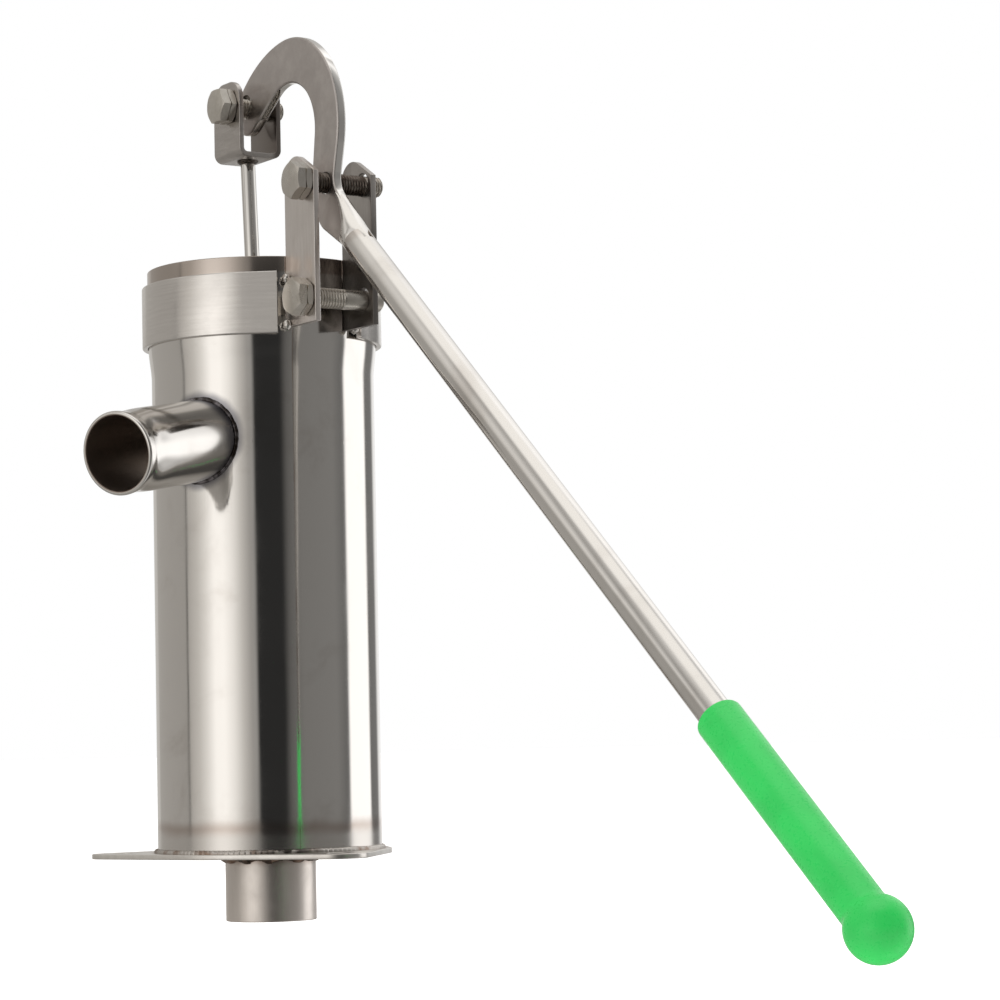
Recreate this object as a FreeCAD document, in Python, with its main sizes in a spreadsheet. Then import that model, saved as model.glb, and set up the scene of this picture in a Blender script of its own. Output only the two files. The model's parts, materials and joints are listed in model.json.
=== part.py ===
import FreeCAD, Part
import Sketcher
import math
import os

# Hand well pump: an open-topped barrel on a foot plate, a side spout, a band clamp that carries
# the lever bracket, a gooseneck lever and a rod that lifts a cup piston.
# Origin: centre of the foot plate's underside. +Z up, the handle reaches out along +X.

doc = FreeCAD.newDocument("hand_well_pump")
sheet = doc.addObject("Spreadsheet::Sheet", "Dims")

DIMENSIONS = {
    # barrel and its foot
    "barrel_radius": 44.5, "barrel_wall": 1.2, "barrel_top": 233.6, "collar_radius": 45.8,
    "flare_start": 192.0, "flare_end": 202.5,
    "plate_thick": 2.0, "plate_disc_radius": 48.5, "plate_ear_pitch_radius": 59.0,
    "plate_ear_radius": 12.0, "plate_hole_radius": 4.5, "plate_first_ear_angle": -3.5,
    "inlet_radius": 18.0, "inlet_wall": 1.5, "inlet_length": 25.6, "weld_size": 2.0,
    "ground_depth": 0.4, "bead_bulge": 0.7, "tack_radius": 2.4,
    # outlet spout
    "spout_radius": 16.0, "spout_wall": 1.6, "spout_reach": 97.7, "spout_axis_height": 169.9,
    "spout_azimuth": -64.1, "spout_droop": 9.4, "spout_bead_width": 3.0, "spout_neck_depth": 0.4,
    "spout_ground_end": 52.4,
    # band clamp and bracket ears
    "band_inner": 45.9, "band_outer": 48.0, "band_bottom": 202.9, "band_top": 227.2,
    "ear_gap": 23.4, "ear_thick": 2.3, "ear_back": 44.6, "ear_front": 67.4, "ear_bottom": 205.3,
    "ear_front_top": 263.9, "ear_crown_x": 52.9, "ear_crown_z": 262.9, "ear_hole_radius": 4.6,
    "pivot_x": 60.6, "pivot_z": 260.3, "clamp_x": 59.9, "clamp_z": 215.3,
    # M8 and M6 fasteners
    "bolt_radius": 4.0, "hex_across": 13.0, "head_height": 3.7, "lock_nut_height": 3.2,
    "bracket_bolt_length": 36.6, "clevis_bolt_length": 26.6, "thread_chamfer": 0.8,
    "bracket_bolt_turn": 30.0, "clevis_bolt_turn": 0.0,
    "small_bolt_radius": 3.0, "small_hex_across": 10.0, "small_nut_height": 5.0,
    # lever plate, handle tube and grip
    "lever_y": -3.0, "lever_thick": 4.0, "lever_hole_radius": 4.3, "eye_hole_radius": 4.9,
    "lever_chamfer": 0.6,
    "hook_x": 31.8, "hook_z": 283.6, "hook_outer": 39.3, "hook_inner": 21.2,
    "hook_crown_angle": 96.0, "neck_taper": 14.0, "throat_taper": 10.0,
    "eye_x": -0.8, "eye_z": 299.2, "eye_radius": 9.5,
    "handle_slope": 40.5, "tube_offset": 231.4, "tube_start": -95.5, "tube_end": 282.0,
    "tube_radius": 5.85, "tube_wall": 1.2, "slot_depth": 11.0, "slot_clearance": 0.1,
    "grip_start": 195.8, "grip_radius": 8.0, "ball_position": 294.6, "ball_radius": 10.8,
    # clevis and piston rod
    "pin_x": -1.8, "pin_z": 300.75, "clevis_x": -4.2, "clevis_width": 21.6, "clevis_outer": 18.9,
    "clevis_sheet": 2.0, "clevis_bottom": 279.8, "clevis_top": 311.0, "clevis_bend": 3.6,
    "clevis_corner": 8.0, "rod_radius": 3.0, "rod_end_z": 122.5, "rod_chamfer": 0.6,
    "collar_bead": 4.3, "collar_height": 1.4, "collar_top": 0.2,
    # piston, at the top of its stroke
    "yoke_top": 135.0, "yoke_bar": 3.0, "yoke_half_span": 23.0, "yoke_width": 16.0,
    "yoke_foot": 9.0, "yoke_slot_half": 11.5, "yoke_slot_width": 7.6, "nut_play": 2.2,
    "piston_top": 108.0, "piston_thick": 8.0, "piston_radius": 42.3, "piston_spigot": 30.0,
    "spigot_length": 12.0, "cup_radius": 43.0, "cup_thick": 3.0, "cup_depth": 12.0,
    "retainer_thick": 3.0, "port_radius": 4.5, "port_pitch": 12.5,
    "valve_radius": 19.0, "valve_thick": 2.5, "valve_lift": 3.5, "stud_nut_height": 4.0,
    "valve_bore": 3.4, "screw_radius": 2.0,
    # foot valve
    "seat_radius": 30.0, "seat_bore": 14.0, "seat_thick": 4.0, "post_pitch": 25.5,
    "post_radius": 1.8, "cage_height": 16.0, "cage_ring_inner": 12.0, "cage_ring_outer": 28.5,
    "cage_ring_thick": 2.0, "flap_radius": 21.0, "flap_thick": 3.0, "weight_radius": 16.0,
    "weight_thick": 4.0, "rivet_radius": 2.5, "rivet_head_radius": 5.0,
}

for row, (alias, value) in enumerate(DIMENSIONS.items(), start=1):
    sheet.set("A%d" % row, alias)
    sheet.set("B%d" % row, "%g" % value)
    sheet.setAlias("B%d" % row, alias)
doc.recompute()


def dim(alias):
    """A driving dimension as a plain number, for placements and arc geometry."""
    return float(sheet.get(alias))


def bind(obj, prop, expression):
    """Bind a property to the sheet. Aliases in the expression are written with a leading $."""
    obj.setExpression(prop, expression.replace("$", "Dims."))


PARTS = []


def part(obj, label):
    """Name a finished sub-part; its label is also its file name."""
    obj.Label = label
    PARTS.append(obj)
    return obj


# ---------------------------------------------------------------- building blocks


def cylinder(name, radius, height):
    obj = doc.addObject("Part::Cylinder", name)
    bind(obj, "Radius", radius)
    bind(obj, "Height", height)
    return obj


def block(name, length, width, height):
    obj = doc.addObject("Part::Box", name)
    bind(obj, "Length", length)
    bind(obj, "Width", width)
    bind(obj, "Height", height)
    return obj


def cut(name, base, tool):
    obj = doc.addObject("Part::Cut", name)
    obj.Base = base
    obj.Tool = tool
    return obj


def fuse(name, shapes):
    obj = doc.addObject("Part::MultiFuse", name)
    obj.Shapes = shapes
    return obj


def common(name, base, tool):
    obj = doc.addObject("Part::Common", name)
    obj.Base = base
    obj.Tool = tool
    return obj


def compound(name, shapes):
    obj = doc.addObject("Part::Compound", name)
    obj.Links = shapes
    return obj


def origin_plane(body, role):
    return [item for item in body.Origin.OriginFeatures if item.Role == role][0]


def new_body(name):
    return doc.addObject("PartDesign::Body", name)


def new_sketch(body, name, role):
    sketch = body.newObject("Sketcher::SketchObject", name)
    sketch.AttachmentSupport = (origin_plane(body, role), [""])
    sketch.MapMode = "FlatFace"
    return sketch


def polar_point(centre, radius, degrees):
    angle = math.radians(degrees)
    return centre + FreeCAD.Vector(radius * math.cos(angle), radius * math.sin(angle), 0)


def polygon(sketch, corners):
    """A closed outline of straight lines; every corner is a pair of bound expressions."""
    count = len(corners)
    for index in range(count):
        angle = 2 * math.pi * index / count
        nxt = 2 * math.pi * (index + 1) / count
        start = FreeCAD.Vector(100 + 10 * math.cos(angle), 10 * math.sin(angle), 0)
        end = FreeCAD.Vector(100 + 10 * math.cos(nxt), 10 * math.sin(nxt), 0)
        sketch.addGeometry(Part.LineSegment(start, end), False)
    for index in range(count):
        sketch.addConstraint(Sketcher.Constraint("Coincident", index, 2, (index + 1) % count, 1))
    for index, (first, second) in enumerate(corners):
        for kind, expression in (("DistanceX", first), ("DistanceY", second)):
            number = sketch.addConstraint(Sketcher.Constraint(kind, -1, 1, index, 1, 100.0))
            bind(sketch, "Constraints[%d]" % number, expression)


def circle(sketch, radius, across, up):
    """A circle whose radius and centre are bound expressions."""
    number = sketch.addGeometry(Part.Circle(FreeCAD.Vector(50, 50, 0), FreeCAD.Vector(0, 0, 1), 3), False)
    for constraint, expression in (
        (Sketcher.Constraint("Radius", number, 3.0), radius),
        (Sketcher.Constraint("DistanceX", -1, 1, number, 3, 50.0), across),
        (Sketcher.Constraint("DistanceY", -1, 1, number, 3, 50.0), up),
    ):
        index = sketch.addConstraint(constraint)
        bind(sketch, "Constraints[%d]" % index, expression)


def revolved(name, corners):
    """A body turned about Z from a closed outline of (radius, height) corners."""
    body = new_body(name)
    sketch = new_sketch(body, name + "_profile", "XZ_Plane")
    polygon(sketch, corners)
    turn = body.newObject("PartDesign::Revolution", name + "_turn")
    turn.Profile = sketch
    turn.ReferenceAxis = (sketch, ["V_Axis"])
    turn.Angle = 360
    return body


def padded(name, role, draw, length, midplane=False):
    """A body padded from an outline that draw() puts in the sketch."""
    body = new_body(name)
    sketch = new_sketch(body, name + "_outline", role)
    draw(sketch)
    pad = body.newObject("PartDesign::Pad", name + "_pad")
    pad.Profile = sketch
    bind(pad, "Length", length)
    pad.Midplane = midplane
    return body, pad


def pocket_through(body, name, role, draw):
    """A pocket cut through the whole body, both ways from the plane."""
    sketch = new_sketch(body, name + "_outline", role)
    draw(sketch)
    pocket = body.newObject("PartDesign::Pocket", name)
    pocket.Profile = sketch
    pocket.Type = "ThroughAll"
    pocket.Midplane = True
    return pocket


def polar(body, name, feature, count):
    """Repeat a pocket round the body's vertical axis."""
    pattern = body.newObject("PartDesign::PolarPattern", name)
    pattern.Originals = [feature]
    pattern.Axis = (feature.Profile[0], ["N_Axis"])
    pattern.Angle = 360
    pattern.Occurrences = count
    body.Tip = pattern
    return pattern


def ring(name, outer, inner, bottom, top):
    """A flat ring or a plain tube about Z."""
    return revolved(name, [(inner, bottom), (outer, bottom), (outer, top), (inner, top)])


def hexagon(name, across, height, chamfered_end):
    """A hexagon block along +Z from 0 with its outer corners chamfered at 30 degrees."""
    prism = doc.addObject("Part::Prism", name + "_hex")
    prism.Polygon = 6
    bind(prism, "Circumradius", across + " / 2 / cos(30 deg)")
    bind(prism, "Height", height)
    cone = doc.addObject("Part::Cone", name + "_cone")
    small = across + " / 2 * 0.96"
    large = small + " + " + height + " / tan(30 deg)"
    bind(cone, "Radius1", small if chamfered_end == "bottom" else large)
    bind(cone, "Radius2", large if chamfered_end == "bottom" else small)
    bind(cone, "Height", height)
    return common(name + "_block", prism, cone)


def along_y(turn):
    """Lays a fastener along +Y, turned on its own axis."""
    lie_down = FreeCAD.Rotation(FreeCAD.Vector(1, 0, 0), -90)
    return lie_down.multiply(FreeCAD.Rotation(FreeCAD.Vector(0, 0, 1), turn))


def hex_bolt(label, length, x, y, z, turn):
    """An M8 bolt along +Y; y is the outer face of its head."""
    head = hexagon(label, "$hex_across", "$head_height", "bottom")
    shank = revolved(label + "_shank", [
        ("0", "$head_height"),
        ("$bolt_radius", "$head_height"),
        ("$bolt_radius", "$head_height + " + length + " - $thread_chamfer"),
        ("$bolt_radius - $thread_chamfer", "$head_height + " + length),
        ("0", "$head_height + " + length),
    ])
    bolt = fuse(label + "_bolt", [head, shank])
    bolt.Placement = FreeCAD.Placement(FreeCAD.Vector(x, y, z), along_y(turn))
    return part(bolt, label)


def hex_nut(label, x, y, z, turn):
    """A thin M8 lock nut along +Y; y is its face nearest the bolt's head."""
    body = hexagon(label, "$hex_across", "$lock_nut_height", "bottom")
    bore = cylinder(label + "_bore", "$bolt_radius", "$lock_nut_height")
    nut = cut(label + "_nut", body, bore)
    nut.Placement = FreeCAD.Placement(FreeCAD.Vector(x, y, z), along_y(turn))
    return part(nut, label)


def small_nut(name, height, bottom):
    """An M6 nut on a vertical thread."""
    body = hexagon(name, "$small_hex_across", height, "top")
    bore = cylinder(name + "_bore", "$small_bolt_radius", height)
    nut = cut(name + "_nut", body, bore)
    bind(nut, "Placement.Base.z", bottom)
    return nut


# ---------------------------------------------------------------- barrel, spout and foot

# The spout leaves the barrel's axis at spout_axis_height, turned by its azimuth and drooping.
spout_azimuth = math.radians(dim("spout_azimuth"))
spout_droop = math.radians(dim("spout_droop"))
spout_direction = FreeCAD.Vector(
    math.cos(spout_azimuth) * math.cos(spout_droop),
    math.sin(spout_azimuth) * math.cos(spout_droop),
    -math.sin(spout_droop),
)
spout_placement = FreeCAD.Placement(
    FreeCAD.Vector(0, 0, dim("spout_axis_height")),
    FreeCAD.Rotation(FreeCAD.Vector(0, 0, 1), spout_direction),
)


def along_spout(obj):
    obj.Placement = spout_placement
    return obj


barrel_tube = revolved("barrel_tube", [
    ("$barrel_radius", "$plate_thick"),
    ("$barrel_radius", "$flare_start"),
    ("$collar_radius", "$flare_end"),
    ("$collar_radius", "$barrel_top"),
    ("$collar_radius - $barrel_wall", "$barrel_top"),
    ("$collar_radius - $barrel_wall", "$flare_end"),
    ("$barrel_radius - $barrel_wall", "$flare_start"),
    ("$barrel_radius - $barrel_wall", "$plate_thick"),
])
spout_port = along_spout(cylinder("spout_port", "$spout_radius - $spout_wall", "$spout_reach"))
part(cut("barrel_with_port", barrel_tube, spout_port), "barrel")

# The pipe is ground back a little where its weld goes, and swells into a rolled rim at its mouth.
spout_tube = along_spout(revolved("spout_tube", [
    ("$spout_radius - $spout_wall", "$barrel_radius / 2"),
    ("$spout_radius - $ground_depth", "$barrel_radius / 2"),
    ("$spout_radius - $ground_depth", "$spout_ground_end"),
    ("$spout_radius", "$spout_ground_end"),
    ("$spout_radius", "$spout_reach - 3 * $spout_bead_width"),
    ("$spout_radius - $spout_neck_depth", "$spout_reach - 2 * $spout_bead_width"),
    ("$spout_radius - $spout_neck_depth", "$spout_reach - 1.5 * $spout_bead_width"),
    ("$spout_radius", "$spout_reach - $spout_bead_width"),
    ("$spout_radius", "$spout_reach - $spout_neck_depth"),
    ("$spout_radius - $spout_neck_depth", "$spout_reach"),
    ("$spout_radius - $spout_wall", "$spout_reach"),
]))
barrel_core = cylinder("barrel_core", "$barrel_radius", "$barrel_top")
part(cut("coped_spout", spout_tube, barrel_core), "outlet_spout")

# The weld bead hugs both the spout and the barrel.
bead_sleeve = along_spout(cylinder("bead_sleeve", "$spout_radius + $weld_size", "$spout_reach"))
bead_skin = cylinder("bead_skin", "$barrel_radius + $weld_size", "$barrel_top")
bead_stock = common("bead_stock", bead_sleeve, bead_skin)
bead_spout_core = along_spout(cylinder("bead_spout_core", "$spout_radius - $ground_depth",
                                       "$spout_reach"))
bead_barrel_core = cylinder("bead_barrel_core", "$barrel_radius", "$barrel_top")
bead_cores = fuse("bead_cores", [bead_spout_core, bead_barrel_core])
part(cut("spout_bead", bead_stock, bead_cores), "spout_weld")


def draw_plate(sketch):
    """The plate's outline: a disc with three ears, joined by their common tangents."""
    disc = dim("plate_disc_radius")
    ear = dim("plate_ear_radius")
    pitch = dim("plate_ear_pitch_radius")
    spread = math.acos((disc - ear) / pitch)
    first = math.radians(dim("plate_first_ear_angle"))

    def on_circle(radius, angle, centre=FreeCAD.Vector(0, 0, 0)):
        return centre + FreeCAD.Vector(radius * math.cos(angle), radius * math.sin(angle), 0)

    for index in range(3):
        angle = first + index * 2 * math.pi / 3
        centre = on_circle(pitch, angle)
        into_ear = angle - spread
        out_of_ear = angle + spread
        next_tangent = angle + 2 * math.pi / 3 - spread
        sketch.addGeometry(
            Part.LineSegment(on_circle(disc, into_ear), on_circle(ear, into_ear, centre)), False)
        sketch.addGeometry(Part.Arc(
            on_circle(ear, into_ear, centre), on_circle(ear, angle, centre),
            on_circle(ear, out_of_ear, centre)
        ), False)
        sketch.addGeometry(
            Part.LineSegment(on_circle(ear, out_of_ear, centre), on_circle(disc, out_of_ear)), False)
        sketch.addGeometry(Part.Arc(
            on_circle(disc, out_of_ear), on_circle(disc, (out_of_ear + next_tangent) / 2),
            on_circle(disc, next_tangent)
        ), False)


foot_plate, plate_pad = padded("foot_plate_body", "XY_Plane", draw_plate, "$plate_thick")
pocket_through(foot_plate, "inlet_hole", "XY_Plane",
               lambda sketch: circle(sketch, "$inlet_radius - $inlet_wall", "0", "0"))
ear_hole = pocket_through(foot_plate, "plate_hole", "XY_Plane", lambda sketch: circle(
    sketch, "$plate_hole_radius",
    "$plate_ear_pitch_radius * cos($plate_first_ear_angle * 1 deg)",
    "$plate_ear_pitch_radius * sin($plate_first_ear_angle * 1 deg)"))
doc.recompute()
polar(foot_plate, "plate_holes", ear_hole, 3)
part(foot_plate, "foot_plate")

part(revolved("barrel_bead", [
    ("$barrel_radius", "$plate_thick"),
    ("$barrel_radius + $weld_size", "$plate_thick"),
    ("$barrel_radius + $bead_bulge * $weld_size", "$plate_thick + $bead_bulge * $weld_size"),
    ("$barrel_radius", "$plate_thick + $weld_size"),
]), "barrel_weld")
# The inlet too is ground back under its weld.
part(revolved("inlet_tube", [
    ("$inlet_radius - $inlet_wall", "0"),
    ("$inlet_radius - $ground_depth", "0"),
    ("$inlet_radius - $ground_depth", "-$weld_size"),
    ("$inlet_radius", "-$weld_size"),
    ("$inlet_radius", "-$inlet_length"),
    ("$inlet_radius - $inlet_wall", "-$inlet_length"),
]), "inlet_pipe")
part(revolved("inlet_bead", [
    ("$inlet_radius - $ground_depth", "0"),
    ("$inlet_radius + $weld_size", "0"),
    ("$inlet_radius + $bead_bulge * $weld_size", "-$bead_bulge * $weld_size"),
    ("$inlet_radius - $ground_depth", "-$weld_size"),
]), "inlet_weld")

# ---------------------------------------------------------------- band clamp and bracket

EAR_OUTER = "($ear_gap / 2 + $ear_thick)"
ear_outer = dim("ear_gap") / 2 + dim("ear_thick")

band_ring = ring("band_ring", "$band_outer", "$band_inner", "$band_bottom", "$band_top")
band_gap = block("band_gap", "$band_outer + 10", "2 * " + EAR_OUTER, "$band_top")
bind(band_gap, "Placement.Base.y", "-" + EAR_OUTER)
bind(band_gap, "Placement.Base.z", "$band_bottom - 1")
part(cut("open_band", band_ring, band_gap), "clamp_band")


def draw_ear(sketch):
    """A flat strip seen along the bolts; its round top slopes down to the front corner."""
    back, front, bottom = dim("ear_back"), dim("ear_front"), dim("ear_bottom")
    crown = FreeCAD.Vector(dim("ear_crown_x"), dim("ear_crown_z"), 0)
    radius = crown.x - back
    lower_back = FreeCAD.Vector(back, bottom, 0)
    lower_front = FreeCAD.Vector(front, bottom, 0)
    upper_front = FreeCAD.Vector(front, dim("ear_front_top"), 0)
    upper_back = FreeCAD.Vector(back, crown.y, 0)
    offset = upper_front - crown
    slope_angle = math.degrees(math.atan2(offset.y, offset.x) + math.acos(radius / offset.Length))
    slope_top = polar_point(crown, radius, slope_angle)
    sketch.addGeometry(Part.LineSegment(lower_back, lower_front), False)
    sketch.addGeometry(Part.LineSegment(lower_front, upper_front), False)
    sketch.addGeometry(Part.LineSegment(upper_front, slope_top), False)
    sketch.addGeometry(Part.Arc(slope_top, polar_point(crown, radius, 90), upper_back), False)
    sketch.addGeometry(Part.LineSegment(upper_back, lower_back), False)


def bracket_ear(label, y):
    """One ear of the bracket; y is its face towards -Y."""
    ear, pad = padded(label + "_strip", "XZ_Plane", draw_ear, "$ear_thick")
    pad.Reversed = True
    for hole, x, z in (("pivot", "$pivot_x", "$pivot_z"), ("clamp", "$clamp_x", "$clamp_z")):
        pocket_through(ear, label + "_" + hole + "_hole", "XZ_Plane",
                       lambda sketch: circle(sketch, "$ear_hole_radius", x,
                                             z + " + $ear_hole_radius - $bolt_radius"))
    bind(ear, "Placement.Base.y", y)
    return part(ear, label)


near_ear = bracket_ear("near_ear", "-" + EAR_OUTER)
far_ear = bracket_ear("far_ear", "$ear_gap / 2")

# Four tack welds join the ears' back edges to the ends of the band.
tacks = []
for side in (-1, 1):
    for end in (-1, 1):
        tack = doc.addObject("Part::Sphere", "tack_%s_%s" % ("near" if side < 0 else "far",
                                                            "low" if end < 0 else "high"))
        bind(tack, "Radius", "$tack_radius")
        bind(tack, "Placement.Base.x", "$band_outer - 1.6")
        bind(tack, "Placement.Base.y", "%d * (%s + 0.4)" % (side, EAR_OUTER))
        bind(tack, "Placement.Base.z", "($band_top + $band_bottom) / 2 + %d * 8.5" % end)
        tacks.append(tack)
tack_row = compound("tack_row", tacks)
tack_core_band = ring("tack_core_band", "$band_outer", "$barrel_radius", "$band_bottom", "$band_top")
tack_core_ears = block("tack_core_ears", "$band_outer + 10", "2 * " + EAR_OUTER, "$ear_crown_z")
bind(tack_core_ears, "Placement.Base.y", "-" + EAR_OUTER)
tack_cores = fuse("tack_cores", [tack_core_band, tack_core_ears])
part(cut("trimmed_tacks", tack_row, tack_cores), "ear_welds")

bolt_stack = dim("head_height") + dim("lock_nut_height")
for name in ("pivot", "clamp"):
    x, z = dim(name + "_x"), dim(name + "_z")
    hex_bolt(name + "_bolt", "$bracket_bolt_length", x, -ear_outer - bolt_stack, z,
             dim("bracket_bolt_turn"))
    hex_nut(name + "_lock_nut", x, -ear_outer - dim("lock_nut_height"), z, dim("bracket_bolt_turn"))

# ---------------------------------------------------------------- lever

slope = math.radians(dim("handle_slope"))
handle_along = FreeCAD.Vector(math.cos(slope), 0, -math.sin(slope))
handle_normal = FreeCAD.Vector(math.sin(slope), 0, math.cos(slope))


def on_handle(distance, offset=0.0):
    """A point on the handle's axis, or beside it by an offset in the lever's plane."""
    point = handle_along * distance + handle_normal * (dim("tube_offset") + offset)
    return FreeCAD.Vector(point.x, dim("lever_y"), point.z)


def rounded_chain(start, corners, end):
    """Straight runs from start to end; each corner is (point, radius of its tangent arc)."""
    edges = []
    last = start
    points = [start] + [point for point, radius in corners] + [end]
    for index, (point, radius) in enumerate(corners, start=1):
        if radius == 0:
            edges.append(Part.LineSegment(last, point))
            last = point
            continue
        into = (point - points[index - 1]).normalize()
        out = (points[index + 1] - point).normalize()
        turn = into.getAngle(out)
        setback = radius * math.tan(turn / 2)
        bisector = (out - into).normalize()
        centre = point + bisector * (radius / math.cos(turn / 2))
        before, after = point - into * setback, point + out * setback
        edges.append(Part.LineSegment(last, before))
        edges.append(Part.Arc(before, centre - bisector * radius, after))
        last = after
    edges.append(Part.LineSegment(last, end))
    return edges


def draw_lever(sketch):
    """The gooseneck plate: an eye, a hooked neck, the pivot boss and a tongue for the tube."""
    hook = FreeCAD.Vector(dim("hook_x"), dim("hook_z"), 0)
    eye = FreeCAD.Vector(dim("eye_x"), dim("eye_z"), 0)
    pivot = FreeCAD.Vector(dim("pivot_x"), dim("pivot_z"), 0)
    outer, inner, eye_radius = dim("hook_outer"), dim("hook_inner"), dim("eye_radius")

    def flat(point):
        return FreeCAD.Vector(point.x, point.z, 0)

    # The back of the hook is an arc tangent to the hook's circle at its crown and to the eye.
    crown_angle = dim("hook_crown_angle")
    crown = polar_point(hook, outer, crown_angle)
    upward = (crown - hook).normalize()
    span = crown - eye
    back_radius = (span.Length ** 2 - eye_radius ** 2) / (2 * (span.dot(upward) - eye_radius))
    back_centre = crown - upward * back_radius
    eye_out = eye + (eye - back_centre).normalize() * eye_radius
    back_middle = back_centre + ((crown - back_centre) + (eye_out - back_centre)).normalize() * back_radius

    # The throat is a straight tangent from the hook's inner circle to the underside of the eye.
    offset = eye - hook
    tangent_angle = math.degrees(
        math.atan2(offset.y, offset.x) - math.acos((inner + eye_radius) / offset.Length))
    inner_high = polar_point(hook, inner, tangent_angle)
    eye_in = polar_point(eye, eye_radius, tangent_angle + 180)
    eye_middle = polar_point(eye, eye_radius, (tangent_angle + 180 + math.degrees(
        math.atan2(eye_out.y - eye.y, eye_out.x - eye.x)) + 360) / 2 - 180)

    shoulder = polar_point(hook, outer, -dim("neck_taper"))
    inner_low = polar_point(hook, inner, -dim("throat_taper"))
    tongue_tip = dim("tube_start") + dim("slot_depth")
    lower_outline = rounded_chain(shoulder, [
        (pivot + FreeCAD.Vector(5.6, -0.8, 0), 9.0),
        (flat(on_handle(dim("tube_start") + 1.0, 4.4)), 0),
        (flat(on_handle(tongue_tip, 4.0)), 0),
        (flat(on_handle(tongue_tip, -4.0)), 0),
        (pivot + FreeCAD.Vector(8.5, -24.2, 0), 3.0),
        (pivot + FreeCAD.Vector(-4.8, -16.4, 0), 9.0),
        (pivot + FreeCAD.Vector(-10.9, -1.8, 0), 12.0),
    ], inner_low)
    outline = [
        Part.Arc(eye_out, back_middle, crown),
        Part.Arc(crown, polar_point(hook, outer, crown_angle / 2), shoulder),
        *lower_outline,
        Part.Arc(inner_low, polar_point(hook, inner, tangent_angle / 2), inner_high),
        Part.LineSegment(inner_high, eye_in),
        Part.Arc(eye_in, eye_middle, eye_out),
    ]
    for edge in outline:
        sketch.addGeometry(edge, False)


lever_plate, lever_pad = padded("lever_plate_body", "XZ_Plane", draw_lever, "$lever_thick", midplane=True)
doc.recompute()
side_faces = ["Face%d" % number for number, face in enumerate(lever_pad.Shape.Faces, start=1)
              if abs(face.normalAt(0, 0).y) > 0.99]
lever_edges = lever_plate.newObject("PartDesign::Chamfer", "lever_edges")
lever_edges.Base = (lever_pad, side_faces)
bind(lever_edges, "Size", "$lever_chamfer")
pocket_through(lever_plate, "lever_pivot_hole", "XZ_Plane",
               lambda sketch: circle(sketch, "$lever_hole_radius", "$pivot_x", "$pivot_z"))
# The eye's hole is larger than its bolt, which hangs at the bottom of it.
pocket_through(lever_plate, "lever_eye_hole", "XZ_Plane",
               lambda sketch: circle(sketch, "$eye_hole_radius", "$pin_x",
                                     "$pin_z + $eye_hole_radius - $bolt_radius - 0.1"))
bind(lever_plate, "Placement.Base.y", "$lever_y")
part(lever_plate, "lever_plate")

along_handle = FreeCAD.Rotation(FreeCAD.Vector(0, 0, 1), handle_along)

tube_blank = ring("tube_blank", "$tube_radius", "$tube_radius - $tube_wall", "0",
                  "$tube_end - $tube_start")
tube_blank.Placement = FreeCAD.Placement(on_handle(dim("tube_start")), along_handle)


def lever_slab(name, start, length, clearance):
    """A block round the lever plate, over a length of the handle's axis from start."""
    slab = block(name, "4 * $tube_radius", "$lever_thick + 2 * %g" % clearance, "%g" % length)
    corner = on_handle(start, 2 * dim("tube_radius"))
    corner.y -= dim("lever_thick") / 2 + clearance
    slab.Placement = FreeCAD.Placement(
        corner, FreeCAD.Rotation(-handle_normal, FreeCAD.Vector(0, 1, 0), handle_along, "ZXY"))
    return slab


tube_slot = lever_slab("tube_slot", dim("tube_start") - 1.0, dim("slot_depth") + 1.0,
                       dim("slot_clearance"))
part(cut("slotted_tube", tube_blank, tube_slot), "handle_tube")

# Two beads lie in the corners between the plate and the slotted end of the tube.
beads = []
for side in (-1, 1):
    bead = cylinder("lever_bead_%s" % ("near" if side < 0 else "far"), "0.9 * $weld_size",
                    "0.8 * $slot_depth")
    start = on_handle(dim("tube_start") - 0.25 * dim("slot_depth"))
    start.y += side * (dim("lever_thick") / 2 + 0.6)
    bead.Placement = FreeCAD.Placement(start, along_handle)
    beads.append(bead)
bead_pair = compound("bead_pair", beads)
bead_tube_core = cylinder("bead_tube_core", "$tube_radius", "$slot_depth")
bead_tube_core.Placement = FreeCAD.Placement(on_handle(dim("tube_start")), along_handle)
bead_plate_core = lever_slab("bead_plate_core", dim("tube_start") - dim("slot_depth"),
                             3 * dim("slot_depth"), 0.0)
lever_bead_cores = fuse("lever_bead_cores", [bead_tube_core, bead_plate_core])
part(cut("trimmed_beads", bead_pair, lever_bead_cores), "lever_weld")

grip_sleeve = revolved("grip_sleeve", [
    ("$tube_radius", "0"),
    ("$grip_radius - 1", "0"),
    ("$grip_radius", "1"),
    ("$grip_radius", "$ball_position - $grip_start"),
    ("0", "$ball_position - $grip_start"),
    ("0", "$tube_end - $grip_start"),
    ("$tube_radius", "$tube_end - $grip_start"),
])
grip_ball = doc.addObject("Part::Sphere", "grip_ball")
bind(grip_ball, "Radius", "$ball_radius")
bind(grip_ball, "Placement.Base.z", "$ball_position - $grip_start")
ball_socket = cylinder("ball_socket", "$tube_radius", "$tube_end - $grip_start")
grip = cut("grip_moulding", fuse("grip_solid", [grip_sleeve, grip_ball]), ball_socket)
grip.Placement = FreeCAD.Placement(on_handle(dim("grip_start")), along_handle)
part(grip, "handle_grip")

# ---------------------------------------------------------------- clevis and piston rod


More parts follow.
